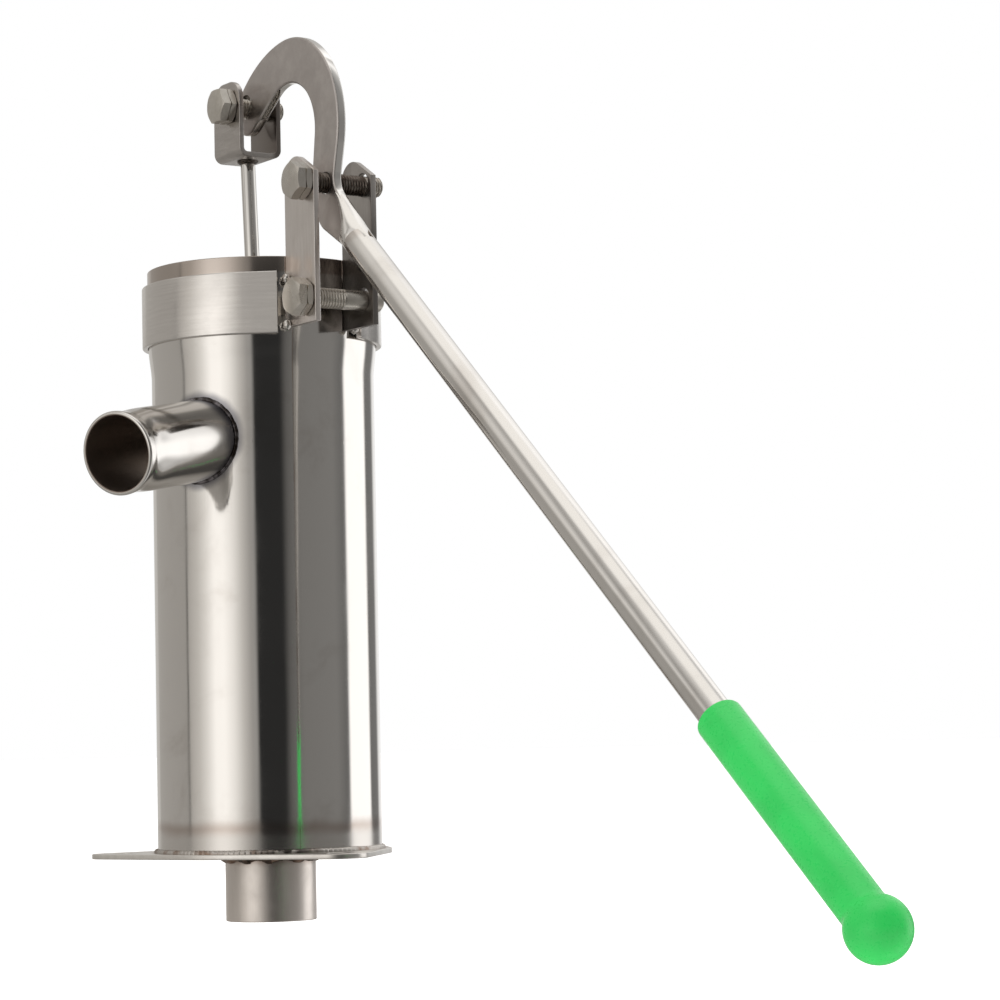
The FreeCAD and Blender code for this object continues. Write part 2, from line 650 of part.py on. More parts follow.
def draw_clevis(sketch):
    """The U section of the clevis, seen along X, with rounded bends."""
    half, wall = dim("clevis_outer") / 2, dim("clevis_sheet")
    bottom, top, bend = dim("clevis_bottom"), dim("clevis_top"), dim("clevis_bend")
    inner_bend = bend - wall

    def corner(side, radius):
        centre = FreeCAD.Vector(side * (half - bend), bottom + bend, 0)
        across = FreeCAD.Vector(side * radius, 0, 0)
        down = FreeCAD.Vector(0, -radius, 0)
        middle = (across + down) * math.sqrt(0.5)
        return centre + across, centre + middle, centre + down

    outer_right, inner_right = corner(1, bend), corner(1, inner_bend)
    outer_left, inner_left = corner(-1, bend), corner(-1, inner_bend)

    def at_top(side, inset):
        return FreeCAD.Vector(side * (half - inset), top, 0)

    for edge in (
        Part.LineSegment(at_top(1, 0), outer_right[0]),
        Part.Arc(*outer_right),
        Part.LineSegment(outer_right[2], outer_left[2]),
        Part.Arc(*reversed(outer_left)),
        Part.LineSegment(outer_left[0], at_top(-1, 0)),
        Part.LineSegment(at_top(-1, 0), at_top(-1, wall)),
        Part.LineSegment(at_top(-1, wall), inner_left[0]),
        Part.Arc(*inner_left),
        Part.LineSegment(inner_left[2], inner_right[2]),
        Part.Arc(*reversed(inner_right)),
        Part.LineSegment(inner_right[0], at_top(1, wall)),
        Part.LineSegment(at_top(1, wall), at_top(1, 0)),
    ):
        sketch.addGeometry(edge, False)


clevis, clevis_pad = padded("clevis_body", "YZ_Plane", draw_clevis, "$clevis_width", midplane=True)
doc.recompute()
top_corners = ["Edge%d" % number for number, edge in enumerate(clevis_pad.Shape.Edges, start=1)
               if edge.BoundBox.YLength < dim("clevis_sheet") + 0.1 and edge.BoundBox.XLength < 0.1
               and edge.BoundBox.ZMin > dim("clevis_top") - 0.1]
rounded = clevis.newObject("PartDesign::Fillet", "clevis_corners")
rounded.Base = (clevis_pad, top_corners)
bind(rounded, "Radius", "$clevis_corner")
pocket_through(clevis, "clevis_pin_hole", "XZ_Plane",
               lambda sketch: circle(sketch, "$bolt_radius", "$pin_x - $clevis_x", "$pin_z"))
bind(clevis, "Placement.Base.x", "$clevis_x")
bind(clevis, "Placement.Base.y", "$lever_y")
part(clevis, "clevis")

clevis_face = dim("lever_y") - dim("clevis_outer") / 2
hex_bolt("clevis_bolt", "$clevis_bolt_length", dim("pin_x"), clevis_face - bolt_stack, dim("pin_z"),
         dim("clevis_bolt_turn"))
hex_nut("clevis_lock_nut", dim("pin_x"), clevis_face - dim("lock_nut_height"), dim("pin_z"),
        dim("clevis_bolt_turn"))

# The rod leans a little from the clevis to the middle of the piston.
rod_top = FreeCAD.Vector(dim("clevis_x"), dim("lever_y"), dim("clevis_bottom"))
rod_bottom = FreeCAD.Vector(0, 0, dim("rod_end_z"))
rod_lean = FreeCAD.Rotation(FreeCAD.Vector(0, 0, 1), rod_top - rod_bottom)
rod = revolved("rod_bar", [
    ("0", "0"),
    ("$rod_radius - $rod_chamfer", "0"),
    ("$rod_radius", "$rod_chamfer"),
    ("$rod_radius", "%.3f" % (rod_top - rod_bottom).Length),
    ("0", "%.3f" % (rod_top - rod_bottom).Length),
])
rod.Placement = FreeCAD.Placement(rod_bottom, rod_lean)
clevis_floor = block("clevis_floor", "$clevis_width", "$clevis_outer", "$clevis_sheet")
clevis_floor.Placement.Base = FreeCAD.Vector(
    dim("clevis_x") - dim("clevis_width") / 2, clevis_face, dim("clevis_bottom"))
part(cut("trimmed_rod", rod, clevis_floor), "piston_rod")

collar = revolved("collar_bead", [
    ("$rod_radius", "-$collar_height"),
    ("$collar_bead", "-$collar_height / 3"),
    ("$collar_bead", "$collar_top"),
    ("$rod_radius", "$collar_top"),
])
collar.Placement = FreeCAD.Placement(rod_top, rod_lean)
part(cut("trimmed_collar", collar, clevis_floor), "rod_weld")

# Two nuts hold the yoke's bar between them with some play.
bar_bottom = "$yoke_top - $yoke_bar"
rod_nuts = compound("rod_nut_pair", [
    small_nut("upper_rod_nut", "$small_nut_height", "$yoke_top + $nut_play - $rod_end_z"),
    small_nut("lower_rod_nut", "$small_nut_height",
              bar_bottom + " - $nut_play - $small_nut_height - $rod_end_z"),
])
rod_nuts.Placement = FreeCAD.Placement(rod_bottom, rod_lean)
part(rod_nuts, "rod_nuts")

# ---------------------------------------------------------------- piston

PISTON_BOTTOM = "$piston_top - $piston_thick"
SPIGOT_BOTTOM = PISTON_BOTTOM + " - $spigot_length"
SCREW_PITCH = "($yoke_half_span + $yoke_foot / 2)"
piston = revolved("piston_disc", [
    ("$small_bolt_radius", "$piston_top"),
    ("$piston_radius - 1", "$piston_top"),
    ("$piston_radius", "$piston_top - 1"),
    ("$piston_radius", PISTON_BOTTOM),
    ("$piston_spigot", PISTON_BOTTOM),
    ("$piston_spigot", SPIGOT_BOTTOM),
    ("$small_bolt_radius", SPIGOT_BOTTOM),
])
port = pocket_through(piston, "port", "XY_Plane",
                      lambda sketch: circle(sketch, "$port_radius", "$port_pitch", "0"))
doc.recompute()
polar(piston, "ports", port, 6)
for side in (-1, 1):
    pocket_through(piston, "piston_screw_hole_%s" % ("back" if side < 0 else "front"), "XY_Plane",
                   lambda sketch: circle(sketch, "$screw_radius",
                                         "%d * %s" % (side, SCREW_PITCH), "0"))
part(piston, "piston_body")

part(revolved("cup", [
    ("$piston_spigot", PISTON_BOTTOM),
    ("$cup_radius", PISTON_BOTTOM),
    ("$cup_radius", PISTON_BOTTOM + " - $cup_depth + 1"),
    ("$cup_radius - 0.6 * $cup_thick", PISTON_BOTTOM + " - $cup_depth"),
    ("$cup_radius - $cup_thick", PISTON_BOTTOM + " - $cup_depth"),
    ("$cup_radius - $cup_thick", PISTON_BOTTOM + " - $cup_thick"),
    ("$piston_spigot", PISTON_BOTTOM + " - $cup_thick"),
]), "piston_cup")
part(ring("clamp_ring", "$piston_spigot + 7", "$piston_spigot",
          PISTON_BOTTOM + " - $cup_thick - $retainer_thick", PISTON_BOTTOM + " - $cup_thick"),
     "cup_retainer")

stud_top = "$piston_top + $valve_thick + $valve_lift + $stud_nut_height"
stud = ring("stud", "$small_bolt_radius", "0", SPIGOT_BOTTOM, stud_top)
stud_head = hexagon("stud_head", "$small_hex_across", "$stud_nut_height", "bottom")
bind(stud_head, "Placement.Base.z", SPIGOT_BOTTOM + " - $stud_nut_height")
part(fuse("headed_stud", [stud, stud_head]), "valve_stud")
part(small_nut("stud_nut", "$stud_nut_height", "$piston_top + $valve_thick + $valve_lift"),
     "valve_stop_nut")
part(ring("valve_plate", "$valve_radius", "$valve_bore", "$piston_top", "$piston_top + $valve_thick"),
     "piston_valve")

yoke = new_body("yoke_strap")
yoke_sketch = new_sketch(yoke, "yoke_profile", "XZ_Plane")
reach = "($yoke_half_span + $yoke_foot)"
polygon(yoke_sketch, [
    ("-" + reach, "$piston_top"),
    ("-$yoke_half_span + $yoke_bar", "$piston_top"),
    ("-$yoke_half_span + $yoke_bar", bar_bottom),
    ("$yoke_half_span - $yoke_bar", bar_bottom),
    ("$yoke_half_span - $yoke_bar", "$piston_top"),
    (reach, "$piston_top"),
    (reach, "$piston_top + $yoke_bar"),
    ("$yoke_half_span", "$piston_top + $yoke_bar"),
    ("$yoke_half_span", "$yoke_top"),
    ("-$yoke_half_span", "$yoke_top"),
    ("-$yoke_half_span", "$piston_top + $yoke_bar"),
    ("-" + reach, "$piston_top + $yoke_bar"),
])
yoke_pad = yoke.newObject("PartDesign::Pad", "yoke_pad")
yoke_pad.Profile = yoke_sketch
bind(yoke_pad, "Length", "$yoke_width")
yoke_pad.Midplane = True
for side in (-1, 1):
    pocket_through(yoke, "yoke_screw_hole_%s" % ("back" if side < 0 else "front"), "XY_Plane",
                   lambda sketch: circle(sketch, "$screw_radius",
                                         "%d * %s" % (side, SCREW_PITCH), "0"))
slot_x = "($yoke_slot_half + $yoke_slot_width / 2)"
yoke_slot = block("yoke_slot", "2 * " + slot_x, "$yoke_slot_width", "2 * $yoke_bar")
bind(yoke_slot, "Placement.Base.x", "-" + slot_x)
bind(yoke_slot, "Placement.Base.y", "-$yoke_slot_width / 2")
bind(yoke_slot, "Placement.Base.z", bar_bottom + " - $yoke_bar / 2")
part(cut("slotted_yoke", yoke, yoke_slot), "piston_yoke")

# Two screws hold the yoke's feet on the piston.
screws = []
for side in (-1, 1):
    foot_x = "%d * %s" % (side, SCREW_PITCH)
    screw = revolved("yoke_screw_%s" % ("back" if side < 0 else "front"), [
        ("0", "$piston_top - $piston_thick"),
        ("$screw_radius", "$piston_top - $piston_thick"),
        ("$screw_radius", "$piston_top + $yoke_bar"),
        ("2 * $screw_radius", "$piston_top + $yoke_bar"),
        ("2 * $screw_radius", "$piston_top + $yoke_bar + 0.6 * $screw_radius"),
        ("1.3 * $screw_radius", "$piston_top + $yoke_bar + 1.1 * $screw_radius"),
        ("0", "$piston_top + $yoke_bar + 1.1 * $screw_radius"),
    ])
    bind(screw, "Placement.Base.x", foot_x)
    screws.append(screw)
part(compound("screw_pair", screws), "yoke_screws")

# ---------------------------------------------------------------- foot valve

seat_top = "$plate_thick + $seat_thick"
part(ring("seat_ring", "$seat_radius", "$seat_bore", "$plate_thick", seat_top), "foot_valve_seat")

cage_top = seat_top + " + $cage_height"
cage_pieces = [ring("cage_ring", "$cage_ring_outer", "$cage_ring_inner",
                    cage_top + " - $cage_ring_thick", cage_top)]
for number in range(3):
    post = cylinder("cage_post_%d" % number, "$post_radius", "$cage_height - $cage_ring_thick / 2")
    angle = "(%d * 120 + 30) * 1 deg" % number
    bind(post, "Placement.Base.x", "$post_pitch * cos(%s)" % angle)
    bind(post, "Placement.Base.y", "$post_pitch * sin(%s)" % angle)
    bind(post, "Placement.Base.z", seat_top)
    cage_pieces.append(post)
part(fuse("valve_cage", cage_pieces), "foot_valve_cage")

flap_top = seat_top + " + $flap_thick"
weight_top = flap_top + " + $weight_thick"
part(ring("flap_disc", "$flap_radius", "$rivet_radius", seat_top, flap_top), "foot_valve_disc")
part(ring("weight_disc", "$weight_radius", "$rivet_radius", flap_top, weight_top), "foot_valve_weight")
part(revolved("valve_rivet", [
    ("0", seat_top + " - 1.5"),
    ("$rivet_head_radius", seat_top + " - 1.5"),
    ("$rivet_head_radius", seat_top),
    ("$rivet_radius", seat_top),
    ("$rivet_radius", weight_top),
    ("$rivet_head_radius", weight_top),
    ("$rivet_head_radius - 1", weight_top + " + 2"),
    ("0", weight_top + " + 2"),
]), "foot_valve_rivet")

# ---------------------------------------------------------------- check and write

doc.recompute()
failed = [item.Name for item in doc.Objects if "Invalid" in item.State or "Error" in item.State]
if failed:
    raise RuntimeError("these objects failed: " + ", ".join(failed))
for item in PARTS:
    if item.Shape.isNull() or not item.Shape.isValid() or not item.Shape.Solids:
        raise RuntimeError("bad shape: " + item.Label)

os.makedirs("parts", exist_ok=True)
for item in PARTS:
    item.Shape.exportStep(os.path.join("parts", item.Label + ".step"))
    box = item.Shape.BoundBox
    print("%-18s %d solid(s) %9.0f mm3  x %.1f..%.1f  y %.1f..%.1f  z %.1f..%.1f" % (
        item.Label, len(item.Shape.Solids), item.Shape.Volume,
        box.XMin, box.XMax, box.YMin, box.YMax, box.ZMin, box.ZMax))
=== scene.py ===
import json
import math

import bmesh
import bpy
from mathutils import Matrix, Vector, noise

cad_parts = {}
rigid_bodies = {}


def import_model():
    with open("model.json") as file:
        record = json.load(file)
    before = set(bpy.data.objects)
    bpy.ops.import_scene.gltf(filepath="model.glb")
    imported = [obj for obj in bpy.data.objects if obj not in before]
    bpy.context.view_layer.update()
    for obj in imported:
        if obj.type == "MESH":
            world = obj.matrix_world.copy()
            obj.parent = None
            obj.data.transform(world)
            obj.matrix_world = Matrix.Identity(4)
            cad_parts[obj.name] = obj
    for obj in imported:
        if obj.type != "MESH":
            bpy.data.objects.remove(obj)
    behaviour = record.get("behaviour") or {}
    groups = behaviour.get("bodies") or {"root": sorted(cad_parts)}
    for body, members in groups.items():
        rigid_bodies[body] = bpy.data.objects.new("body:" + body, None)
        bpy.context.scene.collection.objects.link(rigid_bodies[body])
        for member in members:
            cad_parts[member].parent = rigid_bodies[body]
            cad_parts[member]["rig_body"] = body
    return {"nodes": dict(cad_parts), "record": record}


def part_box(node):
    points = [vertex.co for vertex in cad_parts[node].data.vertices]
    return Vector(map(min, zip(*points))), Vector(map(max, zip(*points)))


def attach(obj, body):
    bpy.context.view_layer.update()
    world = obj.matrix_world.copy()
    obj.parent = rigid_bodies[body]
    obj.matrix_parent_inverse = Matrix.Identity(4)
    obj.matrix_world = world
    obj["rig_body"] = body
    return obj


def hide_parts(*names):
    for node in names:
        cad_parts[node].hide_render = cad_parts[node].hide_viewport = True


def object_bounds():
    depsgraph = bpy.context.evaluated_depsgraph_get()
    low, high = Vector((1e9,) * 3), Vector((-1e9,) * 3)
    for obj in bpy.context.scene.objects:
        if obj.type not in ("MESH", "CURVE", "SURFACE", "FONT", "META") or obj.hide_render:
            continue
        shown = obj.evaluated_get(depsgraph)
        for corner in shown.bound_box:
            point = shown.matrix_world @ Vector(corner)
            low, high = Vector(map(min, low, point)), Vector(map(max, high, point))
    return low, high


# Looks of a hand well pump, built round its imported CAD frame. Metres, Z up, origin at the centre
# of the foot plate's underside; the handle reaches out along +X and the spout leaves towards -Y.

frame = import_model()
cad_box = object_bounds()
nodes = frame["nodes"]

MM = 0.001

# ---------------------------------------------------------------- shader building


class Shader:
    """A procedural material: one Principled shader and the nodes that feed it."""

    def __init__(self, name, **constants):
        self.material = bpy.data.materials.new(name)
        self.material.use_nodes = True
        self.tree = self.material.node_tree
        self.surface = self.tree.nodes["Principled BSDF"]
        for socket, value in constants.items():
            self.surface.inputs[socket.replace("_", " ")].default_value = value

    def node(self, kind, inputs=None, **settings):
        made = self.tree.nodes.new("ShaderNode" + kind)
        for key, value in settings.items():
            setattr(made, key, value)
        for key, value in (inputs or {}).items():
            self.feed(made.inputs[key], value)
        return made

    def feed(self, socket, value):
        if isinstance(value, bpy.types.NodeSocket):
            self.tree.links.new(value, socket)
        else:
            socket.default_value = value

    def position(self):
        """Where a point is at rest, in metres."""
        return self.node("TexCoord").outputs["Object"]

    def height(self):
        return self.node("SeparateXYZ", {"Vector": self.position()}).outputs["Z"]

    def scaled(self, vector, scale):
        return self.node("Mapping", {"Vector": vector, "Scale": scale}).outputs["Vector"]

    def noise(self, vector, scale, detail=3.0, rough=0.5, distortion=0.0):
        return self.node("TexNoise", {
            "Vector": vector, "Scale": scale, "Detail": detail, "Roughness": rough,
            "Distortion": distortion,
        }).outputs["Fac"]

    def math(self, operation, first, second=0.0, third=0.0, clamp=False):
        made = self.node("Math", operation=operation, use_clamp=clamp)
        for socket, value in zip(made.inputs, (first, second, third)):
            self.feed(socket, value)
        return made.outputs["Value"]

    def vector(self, operation, first, second, result="Vector"):
        made = self.node("VectorMath", operation=operation)
        self.feed(made.inputs[0], first)
        self.feed(made.inputs[1], second)
        return made.outputs[result]

    def span(self, value, low, high, to_low=0.0, to_high=1.0):
        """value between low and high becomes to_low to to_high, with smooth ends."""
        return self.node("MapRange", {
            "Value": value, "From Min": low, "From Max": high, "To Min": to_low, "To Max": to_high,
        }, interpolation_type="SMOOTHSTEP").outputs["Result"]

    def bump_band(self, value, centre, width):
        """1 where value is at centre, fading to 0 a width away on both sides."""
        away = self.math("ABSOLUTE", self.math("SUBTRACT", value, centre))
        return self.span(away, 0.0, width, 1.0, 0.0)

    def mix(self, factor, first, second):
        made = self.node("Mix", data_type="RGBA")
        self.feed(made.inputs["Factor"], factor)
        self.feed(made.inputs["A"], first if not isinstance(first, tuple) else (*first, 1.0))
        self.feed(made.inputs["B"], second if not isinstance(second, tuple) else (*second, 1.0))
        return made.outputs["Result"]

    def bump(self, height, distance, strength=1.0):
        """distance is the height in metres that a height of 1 stands for."""
        made = self.node("Bump", {"Height": height, "Distance": distance, "Strength": strength})
        self.feed(self.surface.inputs["Normal"], made.outputs["Normal"])

    def colour(self, value):
        self.feed(self.surface.inputs["Base Color"], value)

    def roughness(self, value):
        self.feed(self.surface.inputs["Roughness"], value)

    def fed(self, socket):
        """What feeds a socket of the surface now, so more can be laid over it."""
        return self.surface.inputs[socket].links[0].from_socket

    def stain(self, factor, tone, roughness):
        """Lays a tone and a roughness over the surface where factor is 1."""
        self.colour(self.mix(factor, self.fed("Base Color"), tone))
        smooth = self.fed("Roughness")
        self.roughness(self.math("MULTIPLY_ADD", self.math("SUBTRACT", roughness, smooth), factor,
                                 smooth))


STEEL = (0.70, 0.675, 0.645)
STEEL_DULL = (0.57, 0.535, 0.50)
SHEET = (0.60, 0.575, 0.55)
SHEET_DULL = (0.46, 0.43, 0.405)
STEEL_DARK = (0.20, 0.17, 0.15)
TINT_BROWN = (0.30, 0.21, 0.16)
TINT_BLUE = (0.10, 0.10, 0.13)
SOOT = (0.035, 0.028, 0.024)


def polished_steel(name, stretch, grain=0.05, rough=0.07, tone=STEEL, dull=STEEL_DULL, waves=0.00016,
                   lined=0.02):
    """Bright polished tube: faint polishing lines drawn out along the small side of stretch."""
    shader = Shader(name, Metallic=1.0)
    where = shader.position()
    lines = shader.noise(shader.scaled(where, stretch), 1.0, detail=4.0, rough=0.6)
    smudge = shader.noise(where, 26.0, detail=4.0, rough=0.55)
    pits = shader.noise(where, 620.0, detail=1.0)
    cloud = shader.noise(where, 34.0, detail=5.0, rough=0.6, distortion=0.4)
    shader.colour(shader.mix(shader.span(cloud, 0.5, 0.85), tone, dull))
    shader.roughness(shader.math(
        "ADD", shader.span(smudge, 0.3, 0.75, rough, rough + 0.06),
        shader.math("MULTIPLY", lines, grain)))
    swell = shader.noise(where, 21.0, detail=1.0)
    height = shader.math("ADD", shader.math("MULTIPLY", lines, lined), swell)
    shader.bump(shader.math("ADD", height, shader.math("MULTIPLY", shader.span(pits, 0.7, 0.8), 0.03)),
                waves)
    return shader


def satin_steel(name, stretch, tone=SHEET, dull=SHEET_DULL, rough=0.26, relief=0.000008):
    """Brushed sheet: lines along one direction and cloudy patches."""
    shader = Shader(name, Metallic=1.0)
    where = shader.position()
    lines = shader.noise(shader.scaled(where, stretch), 1.0, detail=5.0, rough=0.7)
    patches = shader.noise(where, 90.0, detail=5.0, rough=0.65, distortion=0.6)
    wide = shader.noise(where, 22.0, detail=2.0)
    base = shader.mix(shader.span(lines, 0.25, 0.8, 0.0, 0.7), dull, tone)
    clouded = shader.mix(shader.span(patches, 0.42, 0.8, 0.0, 0.6), base, dull)
    shader.colour(shader.mix(shader.span(wide, 0.4, 0.75, 0.0, 0.35), clouded, STEEL_DULL))
    shader.roughness(shader.math(
        "ADD", shader.span(patches, 0.3, 0.7, rough, rough + 0.1),
        shader.math("MULTIPLY", lines, 0.07)))
    shader.bump(shader.math("ADD", lines, shader.math("MULTIPLY", patches, 0.8)), relief)
    return shader


def weld_metal(name, tone, dark, low=0.4, high=0.65, rough=0.38):
    """A bead with scale and soot in its hollows."""
    shader = Shader(name, Metallic=1.0)
    where = shader.position()
    scale = shader.noise(where, 420.0, detail=5.0, rough=0.7)
    cloud = shader.noise(where, 150.0, detail=3.0)
    shader.colour(shader.mix(shader.span(cloud, low, high), tone, dark))
    shader.roughness(shader.span(scale, 0.3, 0.7, rough - 0.1, rough + 0.15))
    shader.bump(scale, 0.0001)
    return shader


def moulded_plastic(name, tone, deep, rough, coarse):
    shader = Shader(name, Metallic=0.0)
    shader.surface.inputs["Specular IOR Level"].default_value = 0.4
    where = shader.position()
    cloud = shader.noise(where, 60.0, detail=3.0)
    fine = shader.noise(where, coarse, detail=3.0, rough=0.6)
    shader.colour(shader.mix(shader.span(cloud, 0.35, 0.7), tone, deep))
    shader.roughness(shader.span(fine, 0.3, 0.7, rough - 0.05, rough + 0.07))
    shader.bump(fine, 0.00003)
    return shader


# ---------------------------------------------------------------- shape building


def finish_mesh(name, made, material, split=34.0):
    """Closes a bmesh into a smooth shaded object with its edges sharp above the split angle."""
    bmesh.ops.recalc_face_normals(made, faces=made.faces)
    mesh = bpy.data.meshes.new(name)
    made.to_mesh(mesh)
    made.free()
    mesh.shade_smooth()
    mesh.set_sharp_from_angle(angle=math.radians(split))
    mesh.materials.append(material)
    piece = bpy.data.objects.new(name, mesh)
    bpy.context.scene.collection.objects.link(piece)
    return piece


def stand_in(piece, node):
    """The piece is shown instead of a CAD node and moves with it."""
    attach(piece, nodes[node]["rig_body"])
    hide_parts(node)
    return piece


def skin(rings, closed=False):
    """Faces between rings of points; closed joins the last ring to the first, else both are capped."""
    made = bmesh.new()
    rows = [[made.verts.new(point) for point in ring] for ring in rings]
    pairs = list(zip(rows, rows[1:]))
    if closed:
        pairs.append((rows[-1], rows[0]))
    for low, high in pairs:
        for number in range(len(low)):
            after = (number + 1) % len(low)
            made.faces.new((low[number], low[after], high[after], high[number]))
    if not closed:
        made.faces.new(rows[0])
        made.faces.new(rows[-1])
    return made


def eased(corners, closed=True, steps=5):
    """Rounds each (radius, height, reach) corner of a profile with a curve that long on both sides."""
    profile = []
    count = len(corners)
    for number, (radius, height, reach) in enumerate(corners):
        here = Vector((radius, height))
        if reach == 0 or (not closed and number in (0, count - 1)):
            profile.append(here)
            continue
        before = Vector(corners[number - 1][:2]) - here
        after = Vector(corners[(number + 1) % count][:2]) - here
        start = here + before.normalized() * min(reach, 0.49 * before.length)
        end = here + after.normalized() * min(reach, 0.49 * after.length)
        for step in range(steps + 1):
            share = step / steps
            profile.append(start.lerp(here, share).lerp(here.lerp(end, share), share))
    return profile


def turned(profile, place, count=96, closed=True):
    """A lathe-turned shape, (radius, height) round the Z axis of place, in millimetres."""
    rings = []
    for radius, height in profile:
        rings.append([
            place @ (Vector((radius * math.cos(turn), radius * math.sin(turn), height)) * MM)
            for turn in (math.tau * number / count for number in range(count))
        ])
    return skin(rings, closed)


def axis_place(origin, along):
    turned_along = Vector(along).to_track_quat("Z", "Y").to_matrix().to_4x4()
    return Matrix.Translation(Vector(origin) * MM) @ turned_along


def cut_away(piece, cutter):
    """Cuts one closed object out of another for good."""
    modifier = piece.modifiers.new("cut", "BOOLEAN")
    modifier.operation = "DIFFERENCE"
    modifier.object = cutter
    graph = bpy.context.evaluated_depsgraph_get()
    result = bpy.data.meshes.new_from_object(piece.evaluated_get(graph), depsgraph=graph)
    piece.modifiers.clear()
    piece.data = result
    result.set_sharp_from_angle(angle=math.radians(34))
    cutter_mesh = cutter.data
    bpy.data.objects.remove(cutter)
    bpy.data.meshes.remove(cutter_mesh)


def rounded_copy(node, material, reach=0.3, corner=30.0, segments=3):
    """The CAD node's own shape with its sharp edges worn round."""
    made = bmesh.new()
    made.from_mesh(nodes[node].data)
    bmesh.ops.remove_doubles(made, verts=made.verts, dist=2e-6)
    bmesh.ops.dissolve_limit(made, angle_limit=math.radians(0.4), verts=made.verts, edges=made.edges)
    edges = [edge for edge in made.edges
             if len(edge.link_faces) == 2 and edge.calc_face_angle(0.0) > math.radians(corner)]
    bmesh.ops.bevel(made, geom=edges, offset=reach * MM, offset_type="OFFSET", segments=segments,
                    profile=0.5, affect="EDGES", clamp_overlap=True)
    piece = finish_mesh(node + "_worn", made, material)
    return stand_in(piece, node)


# ---------------------------------------------------------------- barrel

BARREL_RADIUS = 44.5
COLLAR_RADIUS = 45.8
BARREL_WALL = 1.2
FLARE_START = 192.0
FLARE_END = 202.5
FOOT_TOP = 2.0
SEAM_DIRECTION = math.radians(-14.0)
barrel_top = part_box("barrel")[1].z / MM
band_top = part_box("clamp_band")[1].z

SPOUT_RADIUS = 16.0
SPOUT_WALL = 1.6
SPOUT_REACH = 97.7
SPOUT_ORIGIN = Vector((0.0, 0.0, 169.9))
spout_azimuth = math.radians(-64.1)
spout_droop = math.radians(9.4)
spout_along = Vector((
    math.cos(spout_azimuth) * math.cos(spout_droop),
    math.sin(spout_azimuth) * math.cos(spout_droop),
    -math.sin(spout_droop),
))
spout_side = Vector((-math.sin(spout_azimuth), math.cos(spout_azimuth), 0.0))
spout_up = spout_along.cross(spout_side)


def spout_offset(radius, turn):
    return (spout_side * math.cos(turn) + spout_up * math.sin(turn)) * radius


def spout_meets(radius, turn, barrel):
    """How far along the spout's axis a line at this radius and turn leaves a cylinder round Z."""
    offset = spout_offset(radius, turn)
    across = spout_along.x ** 2 + spout_along.y ** 2
    half = offset.x * spout_along.x + offset.y * spout_along.y
    rest = offset.x ** 2 + offset.y ** 2 - barrel ** 2
    return (-half + math.sqrt(half * half - across * rest)) / across


def barrel_material():
    """Polished tube: a heat-tinted ring over the foot weld, tint round the spout, a painted reflection
    darkening the rim above the band and painted shade in the bore.
    """
    shader = polished_steel("barrel_steel", (60.0, 60.0, 2.0), grain=0.03, rough=0.05, lined=0.003)
    where = shader.position()
    wobble = shader.noise(where, 55.0, detail=2.0)
    level = shader.math("MULTIPLY_ADD", wobble, 0.004, shader.height())
    tint = shader.bump_band(level, 0.0138, 0.0042)
    pickled = shader.span(level, 0.010, 0.0135, 1.0, 0.0)
    shader.stain(shader.math("MULTIPLY", pickled, 0.55), STEEL_DULL, 0.30)
    shader.stain(shader.math("MULTIPLY", tint, 0.5), TINT_BROWN, 0.20)
    # Painted reflection: the barrel is darkened above the band's top, round its rim.
    rim = shader.span(shader.height(), band_top - 0.0005, band_top + 0.0008)
    shader.stain(shader.math("MULTIPLY", rim, 0.75), (0.42, 0.35, 0.30), 0.16)
    # A blue ring spreads from the spout's weld.
    local = shader.vector("SUBTRACT", where, tuple(SPOUT_ORIGIN * MM))
    off_axis = shader.vector("CROSS_PRODUCT", local, tuple(spout_along))
    away = shader.vector("LENGTH", off_axis, (0.0, 0.0, 0.0), "Value")
    ragged = shader.math("MULTIPLY_ADD", wobble, 0.005, away)
    near_spout = shader.span(ragged, 0.0190, 0.0225, 0.7, 0.0)
    facing = shader.span(shader.vector("DOT_PRODUCT", local, tuple(spout_along), "Value"), 0.0, 0.01)
    shader.stain(shader.math("MULTIPLY", near_spout, facing), TINT_BLUE, 0.16)
    # The tube's own seam shows as a faint line on the side towards the handle.
    split = shader.node("SeparateXYZ", {"Vector": where})
    compass = shader.math("ARCTAN2", split.outputs["Y"], split.outputs["X"])
    seam = shader.bump_band(shader.math("MULTIPLY_ADD", wobble, 0.006, compass), SEAM_DIRECTION, 0.009)
    broken = shader.span(shader.noise(where, 70.0, detail=3.0), 0.42, 0.6, 0.1, 0.6)
    shader.stain(shader.math("MULTIPLY", seam, broken), TINT_BROWN, 0.3)
    # Painted shade: the inner wall below the flare is darkened.
    inside = shader.vector("LENGTH", shader.vector("MULTIPLY", where, (1.0, 1.0, 0.0)),
                           (0.0, 0.0, 0.0), "Value")
    dark_bore = shader.span(inside, 0.0437, 0.0441, 0.7, 0.0)
    below_flare = shader.span(shader.height(), FLARE_START * MM, FLARE_END * MM, 1.0, 0.0)
    shader.stain(shader.math("MULTIPLY", dark_bore, below_flare), STEEL_DARK, 0.4)
    return shader.material


barrel_profile = eased([
    (BARREL_RADIUS, FOOT_TOP, 0), (BARREL_RADIUS, 110.0, 0), (BARREL_RADIUS, 188.5, 0),
    (BARREL_RADIUS, FLARE_START, 3.4), (COLLAR_RADIUS, FLARE_END, 4.6),
    (COLLAR_RADIUS, barrel_top, 0.35), (COLLAR_RADIUS - BARREL_WALL, barrel_top, 0.35),
    (COLLAR_RADIUS - BARREL_WALL, FLARE_END, 4.6), (BARREL_RADIUS - BARREL_WALL, FLARE_START, 3.4),
    (BARREL_RADIUS - BARREL_WALL, 110.0, 0), (BARREL_RADIUS - BARREL_WALL, FOOT_TOP, 0),
])
upright = Matrix.Identity(4)
barrel_shell = finish_mesh("barrel_shell", turned(barrel_profile, upright, 192), barrel_material())
spout_axes = Matrix((spout_side, spout_up, spout_along)).transposed().to_4x4()
spout_place = Matrix.Translation(SPOUT_ORIGIN * MM) @ spout_axes
